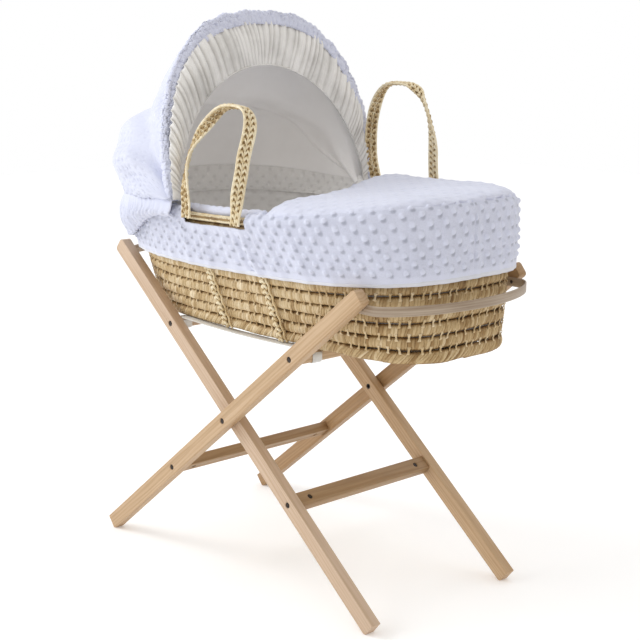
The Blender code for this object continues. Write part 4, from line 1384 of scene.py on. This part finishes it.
def build_hood_hem():
    """The gathered hem below the elastic, over the rim round the head end."""
    count, rows = 620, 44
    turn, at = arch_turns(count, 0.05)
    along = at / at[-1]
    top = hood_surface(turn, 1.0)
    around = rim_turns(top)
    edge = wall(around, 1.0, 0.014)
    deep = 0.014 + 0.064 * smooth(-edge[:, 0], 0.11, 0.30)
    tall = rim_z(edge[:, 0]) - BASE_Z
    w = np.linspace(0, 1, rows)[:, None]
    wave = 0.0075 * elastic_pleats(along) + 0.0022 * pleats(gathers(130, along, 92)) ** 2
    wave = wave * (0.25 + 0.75 * smooth(w, 0.0, 0.8)) * off_ends(at, 0.05)
    roll = 0.008 * np.sin(math.pi * np.clip(w * 1.1, 0, 1))
    below = wall(around, 1.004 - deep * w / tall, 0.0155 + wave + roll)
    points = top + (below - top) * smooth(w, 0.0, 0.30)[..., None]
    raised, tone = dots_and_painted_shade(at * 1.2, deep * w)
    calm = smooth(w, 0.10, 0.35)
    points = raised_by(points, -0.0020 * raised * calm)
    tone = faded(tone, 0.80, calm * 0.45)
    made = shell("hood_hem_cloth", LOOKS["plush"], points[::-1], PLUSH_THICK, tone=tone[::-1])
    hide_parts("hood_skirt")
    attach(made, "basket")


# ---------------------------------------------------------------- the stage


def area_light(name, place, target, size, energy, colour):
    data = bpy.data.lights.new(name, "AREA")
    data.size = size
    data.energy = energy
    data.color = colour
    made = new_object(name, data)
    made.location = place
    made.rotation_euler = (Vector(target) - Vector(place)).to_track_quat("-Z", "Y").to_euler()


def build_world():
    """A white studio that turns a little warmer and darker low on the foot side."""
    world = bpy.data.worlds.new("studio")
    world.use_nodes = True
    studio = Nodes(world.node_tree)
    way = studio.node("SeparateXYZ", {"Vector": studio.node("TexCoord").outputs["Generated"]})
    low_foot = studio.math("SUBTRACT", way.outputs["X"], way.outputs["Z"])
    inputs = {"Value": low_foot, "From Min": -0.30, "From Max": 0.55}
    shade = studio.node("MapRange", inputs, interpolation_type="SMOOTHSTEP").outputs["Result"]
    colour = studio.ramp(shade, [(0, (1.0, 1.0, 1.0)), (1, (0.56, 0.52, 0.47))])
    world.node_tree.links.new(colour, world.node_tree.nodes["Background"].inputs["Color"])
    bpy.context.scene.world = world


def build_stage():
    """A plain pale floor, the studio round it and one large soft light, near side and head end."""
    look = Look("pale_floor", 0.8)
    look.colour((0.93, 0.93, 0.93))
    painted_glow(look.material, (1.0, 1.0, 1.0), 0.16)
    half, low = 6.0, -0.0004
    corners = [(-half, -half, low), (half, -half, low), (half, half, low), (-half, half, low)]
    mesh = Mesh()
    mesh.add(corners, [[0, 1, 2, 3]])
    mesh.made("floor", look.material, False)
    build_world()
    area_light("key", (-3.0, -2.2, 2.8), (PIVOT.x, 0, 0.6), 1.8, 66, (0.96, 0.98, 1.0))
    bpy.context.scene.view_settings.view_transform = "Standard"


def build_camera():
    """A long lens a little above the basket, from the near side towards the foot end."""
    azimuth, elevation, roll = math.radians(47.13), math.radians(12.16), math.radians(0.43)
    distance, lens = 2.555, 78.7
    aim_high, aim_right = 0.4453, 0.0236
    right = Vector((math.cos(azimuth), math.sin(azimuth), 0))
    level = math.cos(elevation)
    back = Vector((math.sin(azimuth) * level, -math.cos(azimuth) * level, math.sin(elevation)))
    target = Vector((PIVOT.x, 0, aim_high)) + right * aim_right
    data = bpy.data.cameras.new("camera")
    data.lens = lens
    data.sensor_width = 36
    camera = new_object("camera", data)
    camera.location = target + back * distance
    camera.rotation_mode = "QUATERNION"
    turn = (-back).to_track_quat("-Z", "Y")
    camera.rotation_quaternion = turn @ Matrix.Rotation(roll, 3, "Z").to_quaternion()
    bpy.context.scene.camera = camera


build_camera()
build_stage()
build_boards()
build_fasteners()
build_bands()
build_straps()
build_weave()
build_base()
build_rim()
build_wall_straps()
build_handles()
build_skirt()
build_liner()
build_quilt()
build_mattress()
build_facing()
build_ruffle()
build_cover()
build_lining()
build_hood_hem()
